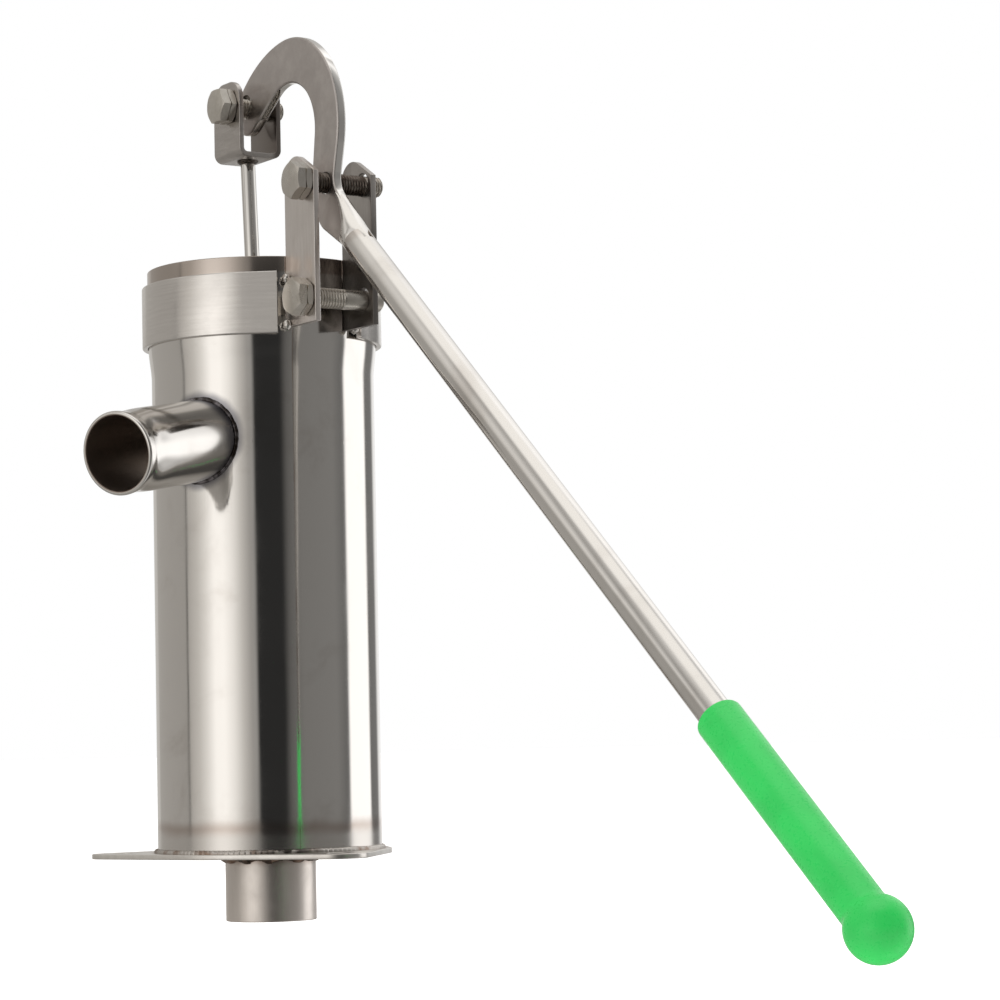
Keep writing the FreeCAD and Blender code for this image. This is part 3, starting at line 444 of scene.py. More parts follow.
port_cutter = finish_mesh("port_cutter", turned(
    [(SPOUT_RADIUS - SPOUT_WALL, 20.0), (SPOUT_RADIUS - SPOUT_WALL, 70.0)], spout_place, 96,
    closed=False), barrel_shell.data.materials[0])
cut_away(barrel_shell, port_cutter)
stand_in(barrel_shell, "barrel")

# ---------------------------------------------------------------- spout


# In metres: the heat tint with painted shade along the spout from the barrel's axis, and the painted
# shade on its inner wall from the spout's own axis.
SCORCH_START, SCORCH_END = 0.0485, 0.0565
INSIDE_FROM, INSIDE_TO = 0.0147, 0.0151


def spout_material():
    """Polished pipe: heat tint with painted shade and painted reflection at its root, and painted shade
    inside.
    """
    shader = polished_steel("spout_steel", (50.0, 25.0, 160.0), rough=0.08)
    where = shader.position()
    local = shader.vector("SUBTRACT", where, tuple(SPOUT_ORIGIN * MM))
    reach = shader.vector("DOT_PRODUCT", local, tuple(spout_along), "Value")
    off_axis = shader.vector("LENGTH", shader.vector("CROSS_PRODUCT", local, tuple(spout_along)),
                             (0.0, 0.0, 0.0), "Value")
    wobble = shader.noise(where, 90.0, detail=3.0)
    ragged = shader.math("MULTIPLY_ADD", wobble, 0.008, reach)
    # Heat tint at the root, darkened to blue-black as painted shade and painted reflection of the
    # barrel.
    shader.stain(shader.span(ragged, SCORCH_START, SCORCH_END, 0.8, 0.0), TINT_BLUE, 0.14)
    # Painted shade: the inner wall is darkened.
    inside = shader.span(off_axis, INSIDE_FROM, INSIDE_TO, 1.0, 0.0)
    shader.stain(inside, (0.32, 0.26, 0.22), 0.5)
    return shader.material


def spout_ring(radius, reach, blend, count=112):
    """A ring round the spout; blend 0 follows the barrel's surface and 1 is square to the axis."""
    ring = []
    for number in range(count):
        turn = math.tau * number / count
        root = spout_meets(radius, turn, BARREL_RADIUS - 0.15)
        along = root + (reach - root) * blend
        ring.append((SPOUT_ORIGIN + spout_along * along + spout_offset(radius, turn)) * MM)
    return ring


mouth_profile = eased([
    (SPOUT_RADIUS, 70.0, 0), (SPOUT_RADIUS, 84.0, 4.0), (SPOUT_RADIUS - 0.65, 91.5, 3.5),
    (SPOUT_RADIUS, 95.6, 2.0), (SPOUT_RADIUS, SPOUT_REACH, 1.0),
    (SPOUT_RADIUS - SPOUT_WALL, SPOUT_REACH, 0.5),
    (SPOUT_RADIUS - SPOUT_WALL, 70.0, 0),
], closed=False)
spout_rings = [spout_ring(SPOUT_RADIUS, 62.0, share / 6) for share in range(7)]
spout_rings += [spout_ring(radius, height, 1.0) for radius, height in mouth_profile]
spout_rings += [spout_ring(SPOUT_RADIUS - SPOUT_WALL, 62.0, 1 - share / 6) for share in range(7)]
stand_in(finish_mesh("spout_pipe", skin(spout_rings, closed=True), spout_material()),
         "outlet_spout")

# ---------------------------------------------------------------- weld beads


def bead(name, path, outward, size, ripples, material, seed=0.0, lumps=0.16, flat=1.0):
    """A welded bead round a closed path: its scales overlap like coins and its width wanders.

    path and outward hold a point and the direction away from the corner for each step.
    """
    rings = []
    count = len(path)
    sides = 12
    for number in range(count):
        ahead = path[(number + 1) % count] - path[number - 1]
        ahead.normalize()
        out = outward[number].normalized()
        across = ahead.cross(out)
        scale = (number / count * ripples) % 1.0
        wander = noise.noise(Vector((number / count * 22.0, seed, 0.0)))
        grow = size * (1.0 + 0.17 * math.sqrt(scale) - 0.10 + lumps * wander)
        rings.append([
            (path[number] + out * math.cos(turn) * grow + across * math.sin(turn) * grow * flat) * MM
            for turn in (math.tau * side / sides for side in range(sides))
        ])
    return finish_mesh(name, skin(rings, closed=True), material, split=60.0)


def round_path(radius, height, count):
    return [Vector((radius * math.cos(turn), radius * math.sin(turn), height))
            for turn in (math.tau * number / count for number in range(count))]


burnt_weld = weld_metal("burnt_weld", (0.26, 0.24, 0.25), SOOT, 0.4, 0.62, rough=0.26).material
spout_path = []
spout_out = []
for step in range(420):
    turn = math.tau * step / 420
    reach = spout_meets(SPOUT_RADIUS, turn, BARREL_RADIUS)
    point = SPOUT_ORIGIN + spout_along * reach + spout_offset(SPOUT_RADIUS, turn)
    spout_path.append(point)
    wall_normal = Vector((point.x, point.y, 0.0)).normalized()
    spout_out.append(wall_normal + spout_offset(1.0, turn))
stand_in(bead("spout_bead", spout_path, spout_out, 0.95, 34, burnt_weld, 3.1,
               lumps=0.4), "spout_weld")


def foot_weld_material():
    """A clean bead, burnt where the weld was started and stopped."""
    shader = weld_metal("foot_weld", STEEL_DULL, TINT_BROWN, 0.5, 0.75, rough=0.34)
    where = shader.position()
    split = shader.node("SeparateXYZ", {"Vector": where})
    compass = shader.math("ARCTAN2", split.outputs["Y"], split.outputs["X"])
    burnt = shader.bump_band(compass, SEAM_DIRECTION - 0.12, 0.42)
    patchy = shader.span(shader.noise(where, 160.0, detail=3.0), 0.42, 0.52, 0.0, 0.95)
    shader.stain(shader.math("MULTIPLY", burnt, patchy), SOOT, 0.4)
    return shader.material


foot_weld = foot_weld_material()
foot_path = round_path(BARREL_RADIUS, FOOT_TOP, 900)
foot_out = [Vector((point.x, point.y, 0.0)).normalized() + Vector((0.0, 0.0, 1.0))
            for point in foot_path]
stand_in(bead("foot_bead", foot_path, foot_out, 1.55, 130, foot_weld, 7.7, flat=0.9), "barrel_weld")

INLET_RADIUS = 18.0
dark_weld = weld_metal("inlet_bead_steel", TINT_BROWN, SOOT, 0.4, 0.65).material
inlet_path = round_path(INLET_RADIUS, 0.0, 400)
inlet_out = [Vector((point.x, point.y, 0.0)).normalized() - Vector((0.0, 0.0, 1.0))
             for point in inlet_path]
stand_in(bead("inlet_bead", inlet_path, inlet_out, 2.1, 26, dark_weld, 5.3, lumps=0.6),
         "inlet_weld")

# ---------------------------------------------------------------- handle

handle_slope = math.radians(40.5)
TUBE_OFFSET = 231.4
LEVER_Y = -3.0
handle_along = Vector((math.cos(handle_slope), 0.0, -math.sin(handle_slope)))
handle_out = Vector((math.sin(handle_slope), 0.0, math.cos(handle_slope)))
TUBE_START = -95.5
TUBE_END = 282.0
TUBE_RADIUS = 5.85
TUBE_WALL = 1.2
SLOT_DEPTH = 11.0
LEVER_THICK = 4.0


def handle_point(distance, offset=0.0, sideways=0.0):
    point = handle_along * distance + handle_out * (TUBE_OFFSET + offset)
    return point + Vector((0.0, LEVER_Y + sideways, 0.0))


def tube_material():
    """Polished handle tube, scorched at its slotted end."""
    shader = polished_steel("tube_steel", (60.0, 260.0, 60.0), rough=0.09, grain=0.05)
    where = shader.position()
    along = shader.vector("DOT_PRODUCT", where, tuple(handle_along), "Value")
    wobble = shader.noise(where, 140.0, detail=3.0)
    ragged = shader.math("MULTIPLY_ADD", wobble, 0.010, along)
    scorched = shader.span(ragged, (TUBE_START + SLOT_DEPTH) * MM, (TUBE_START + 18.0) * MM, 0.3, 0.0)
    shader.stain(scorched, TINT_BROWN, 0.2)
    return shader.material


tube = finish_mesh("lever_arm_tube", turned(eased([
    (TUBE_RADIUS, 0.0, 0.4), (TUBE_RADIUS, 16.0, 0), (TUBE_RADIUS, TUBE_END - TUBE_START, 0.3),
    (TUBE_RADIUS - TUBE_WALL, TUBE_END - TUBE_START, 0.3), (TUBE_RADIUS - TUBE_WALL, 0.0, 0.3),
]), axis_place(handle_point(TUBE_START), handle_along), 72), tube_material())
low = TUBE_START - 2.0
high = TUBE_START + SLOT_DEPTH
half = LEVER_THICK / 2 + 0.1
wide = 2 * TUBE_RADIUS
slot_rings = []
for distance in (low, high):
    slot_rings.append([handle_point(distance, offset, sideways) * MM for offset, sideways in (
        (-wide, -half), (wide, -half), (wide, half), (-wide, half))])
slot_cutter = finish_mesh("slot_cutter", skin(slot_rings), tube.data.materials[0])
cut_away(tube, slot_cutter)
stand_in(tube, "handle_tube")

GRIP_START = 195.8
GRIP_RADIUS = 8.0
BALL_RADIUS = 10.78
BALL_POSITION = 294.6
ball_centre = BALL_POSITION - GRIP_START
SOCKET_DEPTH = TUBE_END - GRIP_START
FILLET = 5.0


def grip_profile():
    """Socket bottom, socket wall, squared lip, straight sleeve, fillet, ball."""
    profile = eased([
        (0.4, SOCKET_DEPTH, 0), (TUBE_RADIUS, SOCKET_DEPTH, 0.4), (TUBE_RADIUS, 0.0, 0.3),
        (GRIP_RADIUS, 0.0, 1.3), (GRIP_RADIUS, 40.0, 0),
    ], closed=False)
    # The fillet's circle touches the sleeve and the ball.
    fillet_radius_at = GRIP_RADIUS + FILLET
    reach = BALL_RADIUS + FILLET
    fillet_height = ball_centre - math.sqrt(reach ** 2 - fillet_radius_at ** 2)
    touch = math.atan2(fillet_radius_at, ball_centre - fillet_height)
    for step in range(9):
        angle = math.pi / 2 - (math.pi / 2 - touch) * step / 8
        profile.append(Vector((
            fillet_radius_at - FILLET * math.sin(angle),
            fillet_height + FILLET * math.cos(angle))))
    for step in range(1, 29):
        angle = touch + (math.pi - touch - 0.04) * step / 28
        profile.append(Vector((
            BALL_RADIUS * math.sin(angle),
            ball_centre - BALL_RADIUS * math.cos(angle))))
    return profile


grip_green = moulded_plastic("grip_green", (0.026, 0.53, 0.096), (0.022, 0.48, 0.085), 0.30, 900.0)
grip = finish_mesh("grip_moulding", turned(
    grip_profile(), axis_place(handle_point(GRIP_START), handle_along), 72, closed=False),
    grip_green.material, split=50.0)
stand_in(grip, "handle_grip")

# The lever plate's edge and the slotted tube are joined by weld ground to a long taper.
ground_weld = polished_steel("ground_weld", (160.0, 160.0, 160.0), rough=0.10, lined=0.12)


def blob(made, centre, size, seed):
    """A puddled lump of weld."""
    lump = bmesh.ops.create_icosphere(made, subdivisions=3, radius=1.0)
    for vert in lump["verts"]:
        swell = 1.0 + 0.22 * noise.noise(vert.co * 1.9 + Vector((seed, 0.0, 0.0)))
        vert.co = centre + Vector((vert.co.x * size.x, vert.co.y * size.y, vert.co.z * size.z)) * swell


TAPER = (
    # along the handle, half width, top, depth
    (-114.0, 2.15, 7.9, 1.6), (-110.0, 2.45, 7.6, 2.2), (-105.0, 3.3, 7.0, 3.4), (-100.0, 4.5, 6.5, 5.4),
    (-96.0, 5.5, 6.15, 8.5), (-93.0, 5.95, 6.0, 11.4), (-90.5, 5.9, 5.9, 11.7), (-89.0, 4.4, 5.86, 11.6),
    (-87.0, 2.6, 5.8, 11.5), (-84.0, 2.1, 5.75, 11.4),
)
taper_rings = []
for distance, half_width, top, depth in TAPER:
    ripple = 0.18 * noise.noise(Vector((distance * 0.31, 4.0, 0.0)))
    taper_rings.append([
        handle_point(distance, top + ripple - depth / 2 + depth / 2 * math.cos(turn),
                     (half_width + ripple) * math.sin(turn)) * MM
        for turn in (math.tau * number / 40 for number in range(40))
    ])
stand_in(finish_mesh("ground_taper", skin(taper_rings), ground_weld.material, 60.0), "lever_weld")

tack_metal = weld_metal("tack_metal", STEEL, STEEL_DULL, rough=0.2).material
tacks = bmesh.new()
tack_low, tack_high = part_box("ear_welds")
for side in (tack_low.y, tack_high.y):
    for end in (tack_low.z, tack_high.z):
        inward = 0.0016
        centre = Vector(((tack_low.x + tack_high.x) / 2, side - math.copysign(inward, side),
                         end - math.copysign(inward + 0.0003, end - (tack_low.z + tack_high.z) / 2)))
        blob(tacks, centre, Vector((0.0020, 0.0016, 0.0021)), side * 400 + end * 90)
stand_in(finish_mesh("ear_tacks", tacks, tack_metal, 60.0), "ear_welds")

# ---------------------------------------------------------------- bolts and nuts

HEX_ACROSS = 13.0
HEAD_HEIGHT = 3.7
NUT_HEIGHT = 3.2
BOLT_RADIUS = 4.0
THREAD_PITCH = 1.25
THREAD_ROOT = 3.42
FASTENER_SIDES = 48


def hex_radius(turn, across):
    """From the axis to a hexagon's side."""
    return across / 2 / math.cos((turn % (math.pi / 3)) - math.pi / 6)


def hex_ring(across, height, drop, chamfer_radius):
    """(radius, height) all round a hexagon whose corners are turned off at 30 degrees.

    drop is +1 or -1, the way a corner falls away, or 0 for a plain hexagon.
    """
    ring = []
    for number in range(FASTENER_SIDES):
        radius = hex_radius(math.tau * number / FASTENER_SIDES, across)
        fall = max(0.0, radius - chamfer_radius) * math.tan(math.radians(30))
        ring.append((radius, height + drop * fall))
    return ring


def plain_ring(radius, height):
    return [(radius, height)] * FASTENER_SIDES


def thread_rings(start, end):
    """A single-start thread from start to end that fades in and is chamfered at its end."""
    rings = []
    steps = round((end - start) / THREAD_PITCH * 8)
    for step in range(steps + 1):
        height = start + (end - start) * step / steps
        ring = []
        for number in range(FASTENER_SIDES):
            phase = (height / THREAD_PITCH - number / FASTENER_SIDES) % 1.0
            tooth = min(1.0, max(0.0, 1.6 * (abs(phase - 0.5) * 2.0) - 0.25))
            fade_in = min(1.0, (height - start) / THREAD_PITCH)
            depth = (BOLT_RADIUS - THREAD_ROOT) * (1.0 - tooth) * fade_in
            limit = THREAD_ROOT - 0.25 + max(0.0, end - height) * 1.0
            ring.append((min(BOLT_RADIUS - depth, limit), height))
        rings.append(ring)
    return rings


def fastener(name, rings, x, y, z, turn, material, closed):
    """Lays rings of (radius, height) along +Y from y, the fastener's own Z."""
    place = (Matrix.Translation(Vector((x, y, z))) @ Matrix.Rotation(-math.pi / 2, 4, "X")
             @ Matrix.Rotation(turn, 4, "Z"))
    placed_rings = []
    for ring in rings:
        placed_rings.append([
            place @ (Vector((radius * math.cos(angle), radius * math.sin(angle), height)) * MM)
            for angle, (radius, height) in
            ((math.tau * number / FASTENER_SIDES, pair) for number, pair in enumerate(ring))
        ])
    return finish_mesh(name, skin(placed_rings, closed), material, split=28.0)


def bolt(name, node, turn, thread_start, thread_end, material):
    """thread_start and thread_end are measured from the head's underside; the rest stays plain."""
    low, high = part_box(node)
    chamfer = HEX_ACROSS / 2 * 0.95
    length = (high.y - low.y) / MM
    rings = [
        plain_ring(chamfer - 0.35, 0.0), hex_ring(HEX_ACROSS, 0.0, 1, chamfer),
        hex_ring(HEX_ACROSS, HEAD_HEIGHT, 0, chamfer), plain_ring(BOLT_RADIUS, HEAD_HEIGHT),
        plain_ring(BOLT_RADIUS, HEAD_HEIGHT + thread_start),
    ]
    if thread_end is None:
        rings += thread_rings(HEAD_HEIGHT + thread_start, length)[1:]
    else:
        rings += thread_rings(HEAD_HEIGHT + thread_start, HEAD_HEIGHT + thread_end)[1:-6]
        rings += [
            plain_ring(BOLT_RADIUS, HEAD_HEIGHT + thread_end - 0.4),
            plain_ring(BOLT_RADIUS, length - 0.8),
            plain_ring(BOLT_RADIUS - 0.8, length),
        ]
    piece = fastener(name, rings, (low.x + high.x) / 2, low.y, (low.z + high.z) / 2,
                     turn, material, False)
    return stand_in(piece, node)


def nut(name, node, turn, material):
    low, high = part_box(node)
    chamfer = HEX_ACROSS / 2 * 0.95
    rings = [
        plain_ring(BOLT_RADIUS + 0.35, 0.0), plain_ring(chamfer - 0.1, 0.0),
        hex_ring(HEX_ACROSS, 0.0, 1, chamfer), hex_ring(HEX_ACROSS, NUT_HEIGHT, -1, chamfer),
        plain_ring(chamfer - 0.1, NUT_HEIGHT), plain_ring(BOLT_RADIUS + 0.35, NUT_HEIGHT),
        plain_ring(BOLT_RADIUS, NUT_HEIGHT - 0.35), plain_ring(BOLT_RADIUS, 0.35),
    ]
    piece = fastener(name, rings, (low.x + high.x) / 2, low.y, (low.z + high.z) / 2,
                     turn, material, True)
    return stand_in(piece, node)


BOLT_TONE = (0.74, 0.705, 0.65)
BOLT_DULL = (0.56, 0.525, 0.47)
bolt_steel = satin_steel("bolt_steel", (300.0, 300.0, 300.0), tone=BOLT_TONE, dull=BOLT_DULL,
                         rough=0.22).material
BRACKET_TURN = math.radians(30)


def greased_bolt():
    """The pivot bolt is darkened with mottled painted shade between the ears, where the lever turns on
    it.
    """
    shader = satin_steel("greased_bolt", (300.0, 300.0, 300.0), tone=BOLT_TONE, dull=BOLT_DULL,
                         rough=0.22)
    where = shader.position()
    across = shader.node("SeparateXYZ", {"Vector": where}).outputs["Y"]
    # Painted shade between the ears, mottled by noise.
    grime = shader.span(shader.noise(where, 300.0, detail=3.0), 0.3, 0.6, 0.6, 0.95)
    between = shader.span(shader.math("ABSOLUTE", across), 0.0112, 0.0125, 1.0, 0.0)
    shader.stain(shader.math("MULTIPLY", between, grime), (0.11, 0.085, 0.07), 0.3)
    return shader.material


bolt("pivot_bolt_threaded", "pivot_bolt", BRACKET_TURN, 2.0, None, greased_bolt())
bolt("clamp_bolt_threaded", "clamp_bolt", BRACKET_TURN, 2.0, 20.0, bolt_steel)
bolt("clevis_bolt_threaded", "clevis_bolt", 0.0, 2.0, None, bolt_steel)
nut("pivot_nut_worn", "pivot_lock_nut", BRACKET_TURN, bolt_steel)
nut("clamp_nut_worn", "clamp_lock_nut", BRACKET_TURN, bolt_steel)
nut("clevis_nut_worn", "clevis_lock_nut", 0.0, bolt_steel)

# ---------------------------------------------------------------- sheet parts


def plate_material():
    """Brushed foot plate, a little scorched next to the barrel's weld."""
    shader = satin_steel("plate_steel", (420.0, 40.0, 420.0), tone=(0.86, 0.83, 0.79),
                         dull=(0.70, 0.67, 0.63))
    where = shader.position()
    radius = shader.vector("LENGTH", shader.vector("MULTIPLY", where, (1.0, 1.0, 0.0)),
                           (0.0, 0.0, 0.0), "Value")
    wobble = shader.noise(where, 120.0, detail=3.0)
    ragged = shader.math("MULTIPLY_ADD", wobble, 0.003, radius)
    shader.stain(shader.span(ragged, 0.0475, 0.0495, 0.5, 0.0), TINT_BROWN, 0.3)
    return shader.material


def inlet_material():
    """Satin pipe, scorched under the plate."""
    shader = satin_steel("inlet_steel", (160.0, 160.0, 12.0), tone=(0.88, 0.82, 0.77),
                         dull=(0.72, 0.66, 0.61), rough=0.3)
    wobble = shader.noise(shader.position(), 130.0, detail=3.0)
    ragged = shader.math("MULTIPLY_ADD", wobble, 0.004, shader.height())
    shader.stain(shader.span(ragged, -0.0025, 0.0015, 0.0, 0.85), TINT_BROWN, 0.35)
    return shader.material


rounded_copy("foot_plate", plate_material(), 0.35)
stand_in(finish_mesh("inlet_pipe_turned", turned(eased([
    (INLET_RADIUS, -0.2, 0), (INLET_RADIUS, -25.6, 0.4), (INLET_RADIUS - 1.5, -25.6, 0.4),
    (INLET_RADIUS - 1.5, -0.2, 0),
]), upright, 128), inlet_material()), "inlet_pipe")
band_steel = satin_steel("band_steel", (40.0, 40.0, 900.0), tone=(0.80, 0.77, 0.735),
                         dull=(0.68, 0.65, 0.62), rough=0.13)
BAND_OUTER = 48.0
BAND_THICK = 2.1
LEAVES_AT = math.radians(38.0)
STRAP_END = 13.5
band_low, band_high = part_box("clamp_band")


def band_section(point, out):
    """The band's cross-section with rounded edges, at a point on its outer face."""
    bottom = band_low.z / MM
    top = band_high.z / MM
    corners = eased([(0.0, bottom, 0.5), (0.0, top, 0.5), (-BAND_THICK, top, 0.3),
                     (-BAND_THICK, bottom, 0.3)])
    return [(point + out * inset + Vector((0.0, 0.0, height))) * MM for inset, height in corners]


# The band hugs the barrel and leaves it in two straight ends next to the ears.
band_rings = []
for side, distances in ((-1, (STRAP_END, 9.0, 4.5)), (1, (4.5, 9.0, STRAP_END))):
    out = Vector((math.cos(LEAVES_AT), side * math.sin(LEAVES_AT), 0.0))
    on_towards_ear = Vector((math.sin(LEAVES_AT), -side * math.cos(LEAVES_AT), 0.0))
    straight = [band_section(out * BAND_OUTER + on_towards_ear * distance, out)
                for distance in distances]
    if side == -1:
        band_rings += straight
        for step in range(133):
            turn = -LEAVES_AT - (math.tau - 2 * LEAVES_AT) * step / 132
            out = Vector((math.cos(turn), math.sin(turn), 0.0))
            band_rings.append(band_section(out * BAND_OUTER, out))
    else:
        band_rings += straight
stand_in(finish_mesh("band_strap", skin(band_rings), band_steel.material), "clamp_band")
ear_steel = satin_steel("ear_steel", (900.0, 120.0, 60.0), tone=(0.90, 0.85, 0.815),
                        dull=(0.72, 0.67, 0.635))
rounded_copy("near_ear", ear_steel.material, 0.3)
# The two ears are one steel: the far ear's duller tone than the near ear's is painted shade.
far_steel = satin_steel("far_ear_shaded_steel", (900.0, 120.0, 60.0))
far_height = far_steel.height()
# Painted shade: the far ear darkens towards the bottom.
far_steel.stain(far_steel.span(far_height, 0.228, 0.262, 0.85, 0.0), (0.18, 0.165, 0.155), 0.3)
rounded_copy("far_ear", far_steel.material, 0.3)


def lever_material():
    """Mottled matte faces and polished edges."""
    shader = satin_steel("lever_steel", (140.0, 140.0, 140.0), tone=(0.66, 0.62, 0.59),
                         dull=(0.49, 0.45, 0.43), rough=0.3)
    facing = shader.node("SeparateXYZ", {"Vector": shader.node("NewGeometry").outputs["Normal"]})
    sideways = shader.math("ABSOLUTE", facing.outputs["Y"])
    shader.stain(shader.span(sideways, 0.3, 0.6, 0.95, 0.0), (0.80, 0.78, 0.75), 0.07)
    return shader.material


rounded_copy("lever_plate", lever_material(), 0.18, corner=25.0)
clevis_steel = satin_steel("clevis_steel", (90.0, 90.0, 600.0), tone=(0.66, 0.62, 0.59), rough=0.22)
across_clevis = clevis_steel.node("SeparateXYZ", {"Vector": clevis_steel.position()}).outputs["Y"]
# Painted shade: the clevis darkens towards +Y, over its far cheek.
clevis_steel.stain(clevis_steel.span(across_clevis, 0.0015, 0.0045, 0.0, 0.8), (0.16, 0.135, 0.12), 0.3)
rounded_copy("clevis", clevis_steel.material, 0.25)
rod_steel = polished_steel("rod_steel", (400.0, 400.0, 20.0), grain=0.01, rough=0.015,
                           waves=0.000004).material
rounded_copy("piston_rod", rod_steel, 0.25)
rounded_copy("rod_weld", weld_metal("collar_weld", STEEL_DARK, SOOT).material, 0.6)

# ---------------------------------------------------------------- hidden works

inner_steel = satin_steel("inner_steel", (90.0, 90.0, 90.0)).material
for name in ("cup_retainer", "valve_stud", "valve_stop_nut", "piston_yoke", "yoke_screws",
             "foot_valve_cage", "foot_valve_weight", "foot_valve_rivet"):
    rounded_copy(name, inner_steel, 0.2)
rounded_copy("rod_nuts", bolt_steel, 0.2)
white_plastic = moulded_plastic("white_plastic", (0.80, 0.79, 0.75), (0.74, 0.72, 0.67), 0.5, 600.0)
for name in ("piston_body", "foot_valve_seat"):
    rounded_copy(name, white_plastic.material, 0.3)
black_rubber = moulded_plastic("black_rubber", (0.03, 0.03, 0.032), (0.045, 0.043, 0.042), 0.62, 1400.0)
for name in ("piston_cup", "piston_valve", "foot_valve_disc"):
    rounded_copy(name, black_rubber.material, 0.25)

# ---------------------------------------------------------------- studio

# The floor lies clear below the grip's ball at the lever's lowest limit.
lever_joint = next(joint for joint in frame["record"]["behaviour"]["joints"]
                   if joint["name"] == "lever_pivot")
lever_hinge = Vector(lever_joint["pos_m"])
lowest_turn = math.radians(lever_joint["range_deg"][0])
ball_arm = handle_point(BALL_POSITION) * MM - lever_hinge
ball_drop = ball_arm.x * math.sin(lowest_turn) + ball_arm.z * math.cos(lowest_turn)
FLOOR_GAP = 0.001
FLOOR_Z = lever_hinge.z + ball_drop - BALL_RADIUS * MM - FLOOR_GAP

floor_shader = Shader("floor_white", Roughness=0.75)
floor_where = floor_shader.position()
floor_cloud = floor_shader.noise(floor_where, 3.0, detail=2.0)
floor_shader.colour(floor_shader.mix(floor_cloud, (0.90, 0.90, 0.90), (0.93, 0.93, 0.93)))
floor_shader.surface.inputs["Emission Color"].default_value = (1.0, 1.0, 1.0, 1.0)
floor_shader.surface.inputs["Emission Strength"].default_value = 0.55
floor_mesh = bpy.data.meshes.new("floor")
made = bmesh.new()
bmesh.ops.create_circle(made, cap_ends=True, segments=96, radius=60.0)
made.to_mesh(floor_mesh)
made.free()
floor = bpy.data.objects.new("floor", floor_mesh)
floor.location.z = FLOOR_Z
floor_mesh.materials.append(floor_shader.material)
floor.visible_glossy = False
bpy.context.scene.collection.objects.link(floor)

# What the steel sees by compass direction, in degrees: (direction, brightness, warmth).
BELOW = [
    (-180, 0.33, 1.0), (-110, 0.38, 1.0), (-89, 0.46, 0.8), (-70, 0.48, 0.6), (-52, 0.34, 0.8),
    (-40, 0.10, 0.4), (-12, 0.10, 0.4), (0, 0.22, 0.8), (38, 0.32, 0.6), (60, 0.75, 0.3),
    (86, 0.70, 0.3), (99, 0.34, 0.4), (113, 0.22, 0.6), (127, 0.42, 0.6), (142, 0.28, 1.0),
    (166, 0.40, 1.0),
]
LEVEL = [
    (-180, 0.46, 1.0), (-121, 0.42, 1.0), (-120, 0.42, 1.0), (-119, 0.14, 1.0),
    (-118, 0.14, 1.0), (-117, 0.50, 1.0), (-114, 0.56, 1.0), (-104, 0.70, 0.9), (-94, 0.98, 0.7),
    (-84, 1.36, 0.5), (-74, 1.38, 0.5), (-64, 1.12, 0.6), (-54, 0.70, 0.8), (-45, 0.42, 0.8),
    (-41, 0.40, 0.6), (-38, 0.03, 0.0), (-12, 0.03, 0.0), (-6, 0.14, 0.6), (8, 0.23, 0.6),
    (46, 0.25, 0.5), (58, 0.18, 0.3), (61, 0.22, 0.2), (64, 1.50, 0.1), (97, 1.50, 0.1),
    (101, 0.20, 0.2), (119, 0.22, 0.2), (126, 0.90, 0.1), (136, 1.05, 0.1), (146, 0.76, 0.4),
    (166, 0.60, 0.8),
]
ABOVE = [
    (-180, 0.52, 1.0), (-150, 0.45, 1.0), (-135, 0.50, 1.0), (-126, 0.75, 0.8), (-118, 0.92, 0.6),
    (-112, 0.70, 0.6), (-106, 0.38, 0.8), (-90, 0.85, 0.5), (-60, 0.80, 0.5), (-42, 0.30, 0.6),
    (-10, 0.20, 0.6), (40, 0.30, 0.4), (62, 0.60, 0.3), (78, 1.30, 0.1), (96, 0.60, 0.3),
    (105, 1.50, 0.1), (114, 1.30, 0.2), (124, 1.05, 0.2), (132, 0.62, 0.4), (150, 0.50, 0.8),
]
OVERHEAD = (1.22, 1.20, 1.16, 1.0)


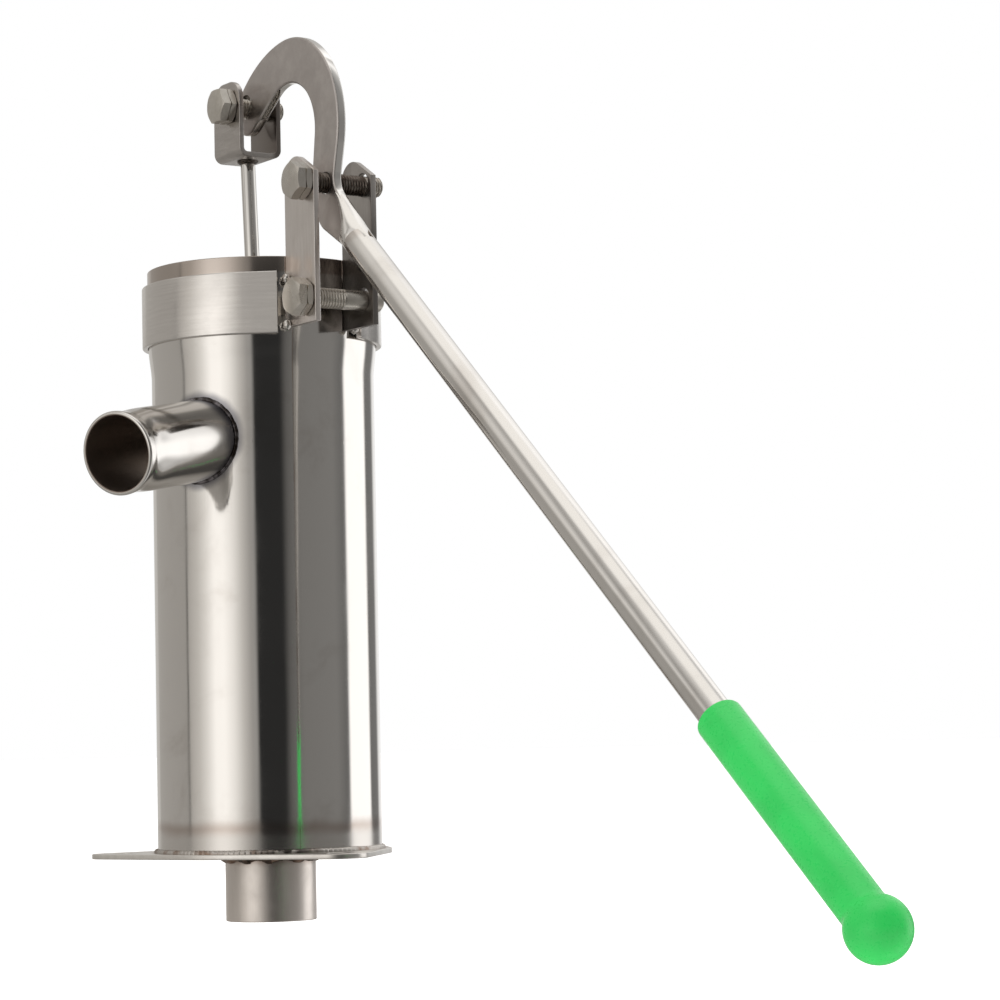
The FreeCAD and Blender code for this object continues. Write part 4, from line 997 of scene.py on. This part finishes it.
def studio_world():
    """A studio as the steel sees it: soft panels and dark gaps in three belts, and an overhead."""
    world = bpy.data.worlds.new("studio")
    bpy.context.scene.world = world
    world.use_nodes = True
    tree = world.node_tree
    link = tree.links.new
    new = tree.nodes.new
    tree.nodes.clear()
    coords = new("ShaderNodeTexCoord")
    split = new("ShaderNodeSeparateXYZ")
    link(coords.outputs["Generated"], split.inputs["Vector"])
    compass = new("ShaderNodeMath")
    compass.operation = "ARCTAN2"
    link(split.outputs["Y"], compass.inputs[0])
    link(split.outputs["X"], compass.inputs[1])
    turn = new("ShaderNodeMapRange")
    turn.inputs["From Min"].default_value = -math.pi
    turn.inputs["From Max"].default_value = math.pi
    link(compass.outputs["Value"], turn.inputs["Value"])

    def belt(panels):
        ring = new("ShaderNodeValToRGB")
        stops = ring.color_ramp.elements
        while len(stops) > 1:
            stops.remove(stops[-1])
        for number, (degrees, bright, warmth) in enumerate(panels):
            stop = stops[0] if number == 0 else stops.new((degrees + 180) / 360)
            stop.position = (degrees + 180) / 360
            stop.color = (bright, bright * (1 - 0.035 * warmth), bright * (1 - 0.09 * warmth), 1.0)
        link(turn.outputs["Result"], ring.inputs["Fac"])
        return ring.outputs["Color"]

    def step_up(low, high, under, over):
        """Turns from under to over while the view direction rises from low to high."""
        rise = new("ShaderNodeMapRange")
        rise.interpolation_type = "SMOOTHSTEP"
        rise.inputs["From Min"].default_value = low
        rise.inputs["From Max"].default_value = high
        link(split.outputs["Z"], rise.inputs["Value"])
        blend = new("ShaderNodeMix")
        blend.data_type = "RGBA"
        link(rise.outputs["Result"], blend.inputs["Factor"])
        for socket, value in (("A", under), ("B", over)):
            if isinstance(value, tuple):
                blend.inputs[socket].default_value = value
            else:
                link(value, blend.inputs[socket])
        return blend.outputs["Result"]

    low_half = step_up(-0.30, -0.08, belt(BELOW), belt(LEVEL))
    most = step_up(0.17, 0.42, low_half, belt(ABOVE))
    sky = step_up(0.86, 0.97, most, OVERHEAD)
    studio = new("ShaderNodeBackground")
    link(sky, studio.inputs["Color"])
    backdrop = new("ShaderNodeBackground")
    backdrop.inputs["Color"].default_value = (1.0, 1.0, 1.0, 1.0)
    backdrop.inputs["Strength"].default_value = 1.0
    path = new("ShaderNodeLightPath")
    choose = new("ShaderNodeMixShader")
    link(path.outputs["Is Camera Ray"], choose.inputs["Fac"])
    link(studio.outputs["Background"], choose.inputs[1])
    link(backdrop.outputs["Background"], choose.inputs[2])
    out = new("ShaderNodeOutputWorld")
    link(choose.outputs["Shader"], out.inputs["Surface"])


studio_world()


def panel_light(name, place, target, size, watts):
    lamp = bpy.data.lights.new(name, "AREA")
    lamp.shape = "RECTANGLE"
    lamp.size, lamp.size_y = size
    lamp.energy = watts
    lamp.color = (1.0, 0.985, 0.96)
    holder = bpy.data.objects.new(name, lamp)
    holder.location = place
    holder.rotation_euler = (Vector(target) - Vector(place)).to_track_quat("-Z", "Y").to_euler()
    holder.visible_glossy = False
    bpy.context.scene.collection.objects.link(holder)


centre = (cad_box[0] + cad_box[1]) / 2
panel_light("top_panel", (0.1, -0.1, 2.2), centre, (2.2, 2.2), 44.0)

# ---------------------------------------------------------------- camera

camera_data = bpy.data.cameras.new("camera")
camera_data.sensor_width = 36.0
camera_data.lens = 112.4
camera_data.clip_start = 0.05
camera_data.clip_end = 200.0
camera = bpy.data.objects.new("camera", camera_data)
CAMERA_AZIMUTH = math.radians(146.5)
CAMERA_PITCH = math.radians(4.48)
CAMERA_ROLL = math.radians(1.27)
camera.location = (1.0945, -0.6112, 0.0418)
forward = Vector((
    math.cos(CAMERA_AZIMUTH) * math.cos(CAMERA_PITCH),
    math.sin(CAMERA_AZIMUTH) * math.cos(CAMERA_PITCH),
    math.sin(CAMERA_PITCH),
))
camera.rotation_euler = (
    forward.to_track_quat("-Z", "Y").to_matrix() @ Matrix.Rotation(-CAMERA_ROLL, 3, "Z")
).to_euler()
bpy.context.scene.collection.objects.link(camera)
bpy.context.scene.camera = camera
bpy.context.scene.view_settings.view_transform = "Standard"
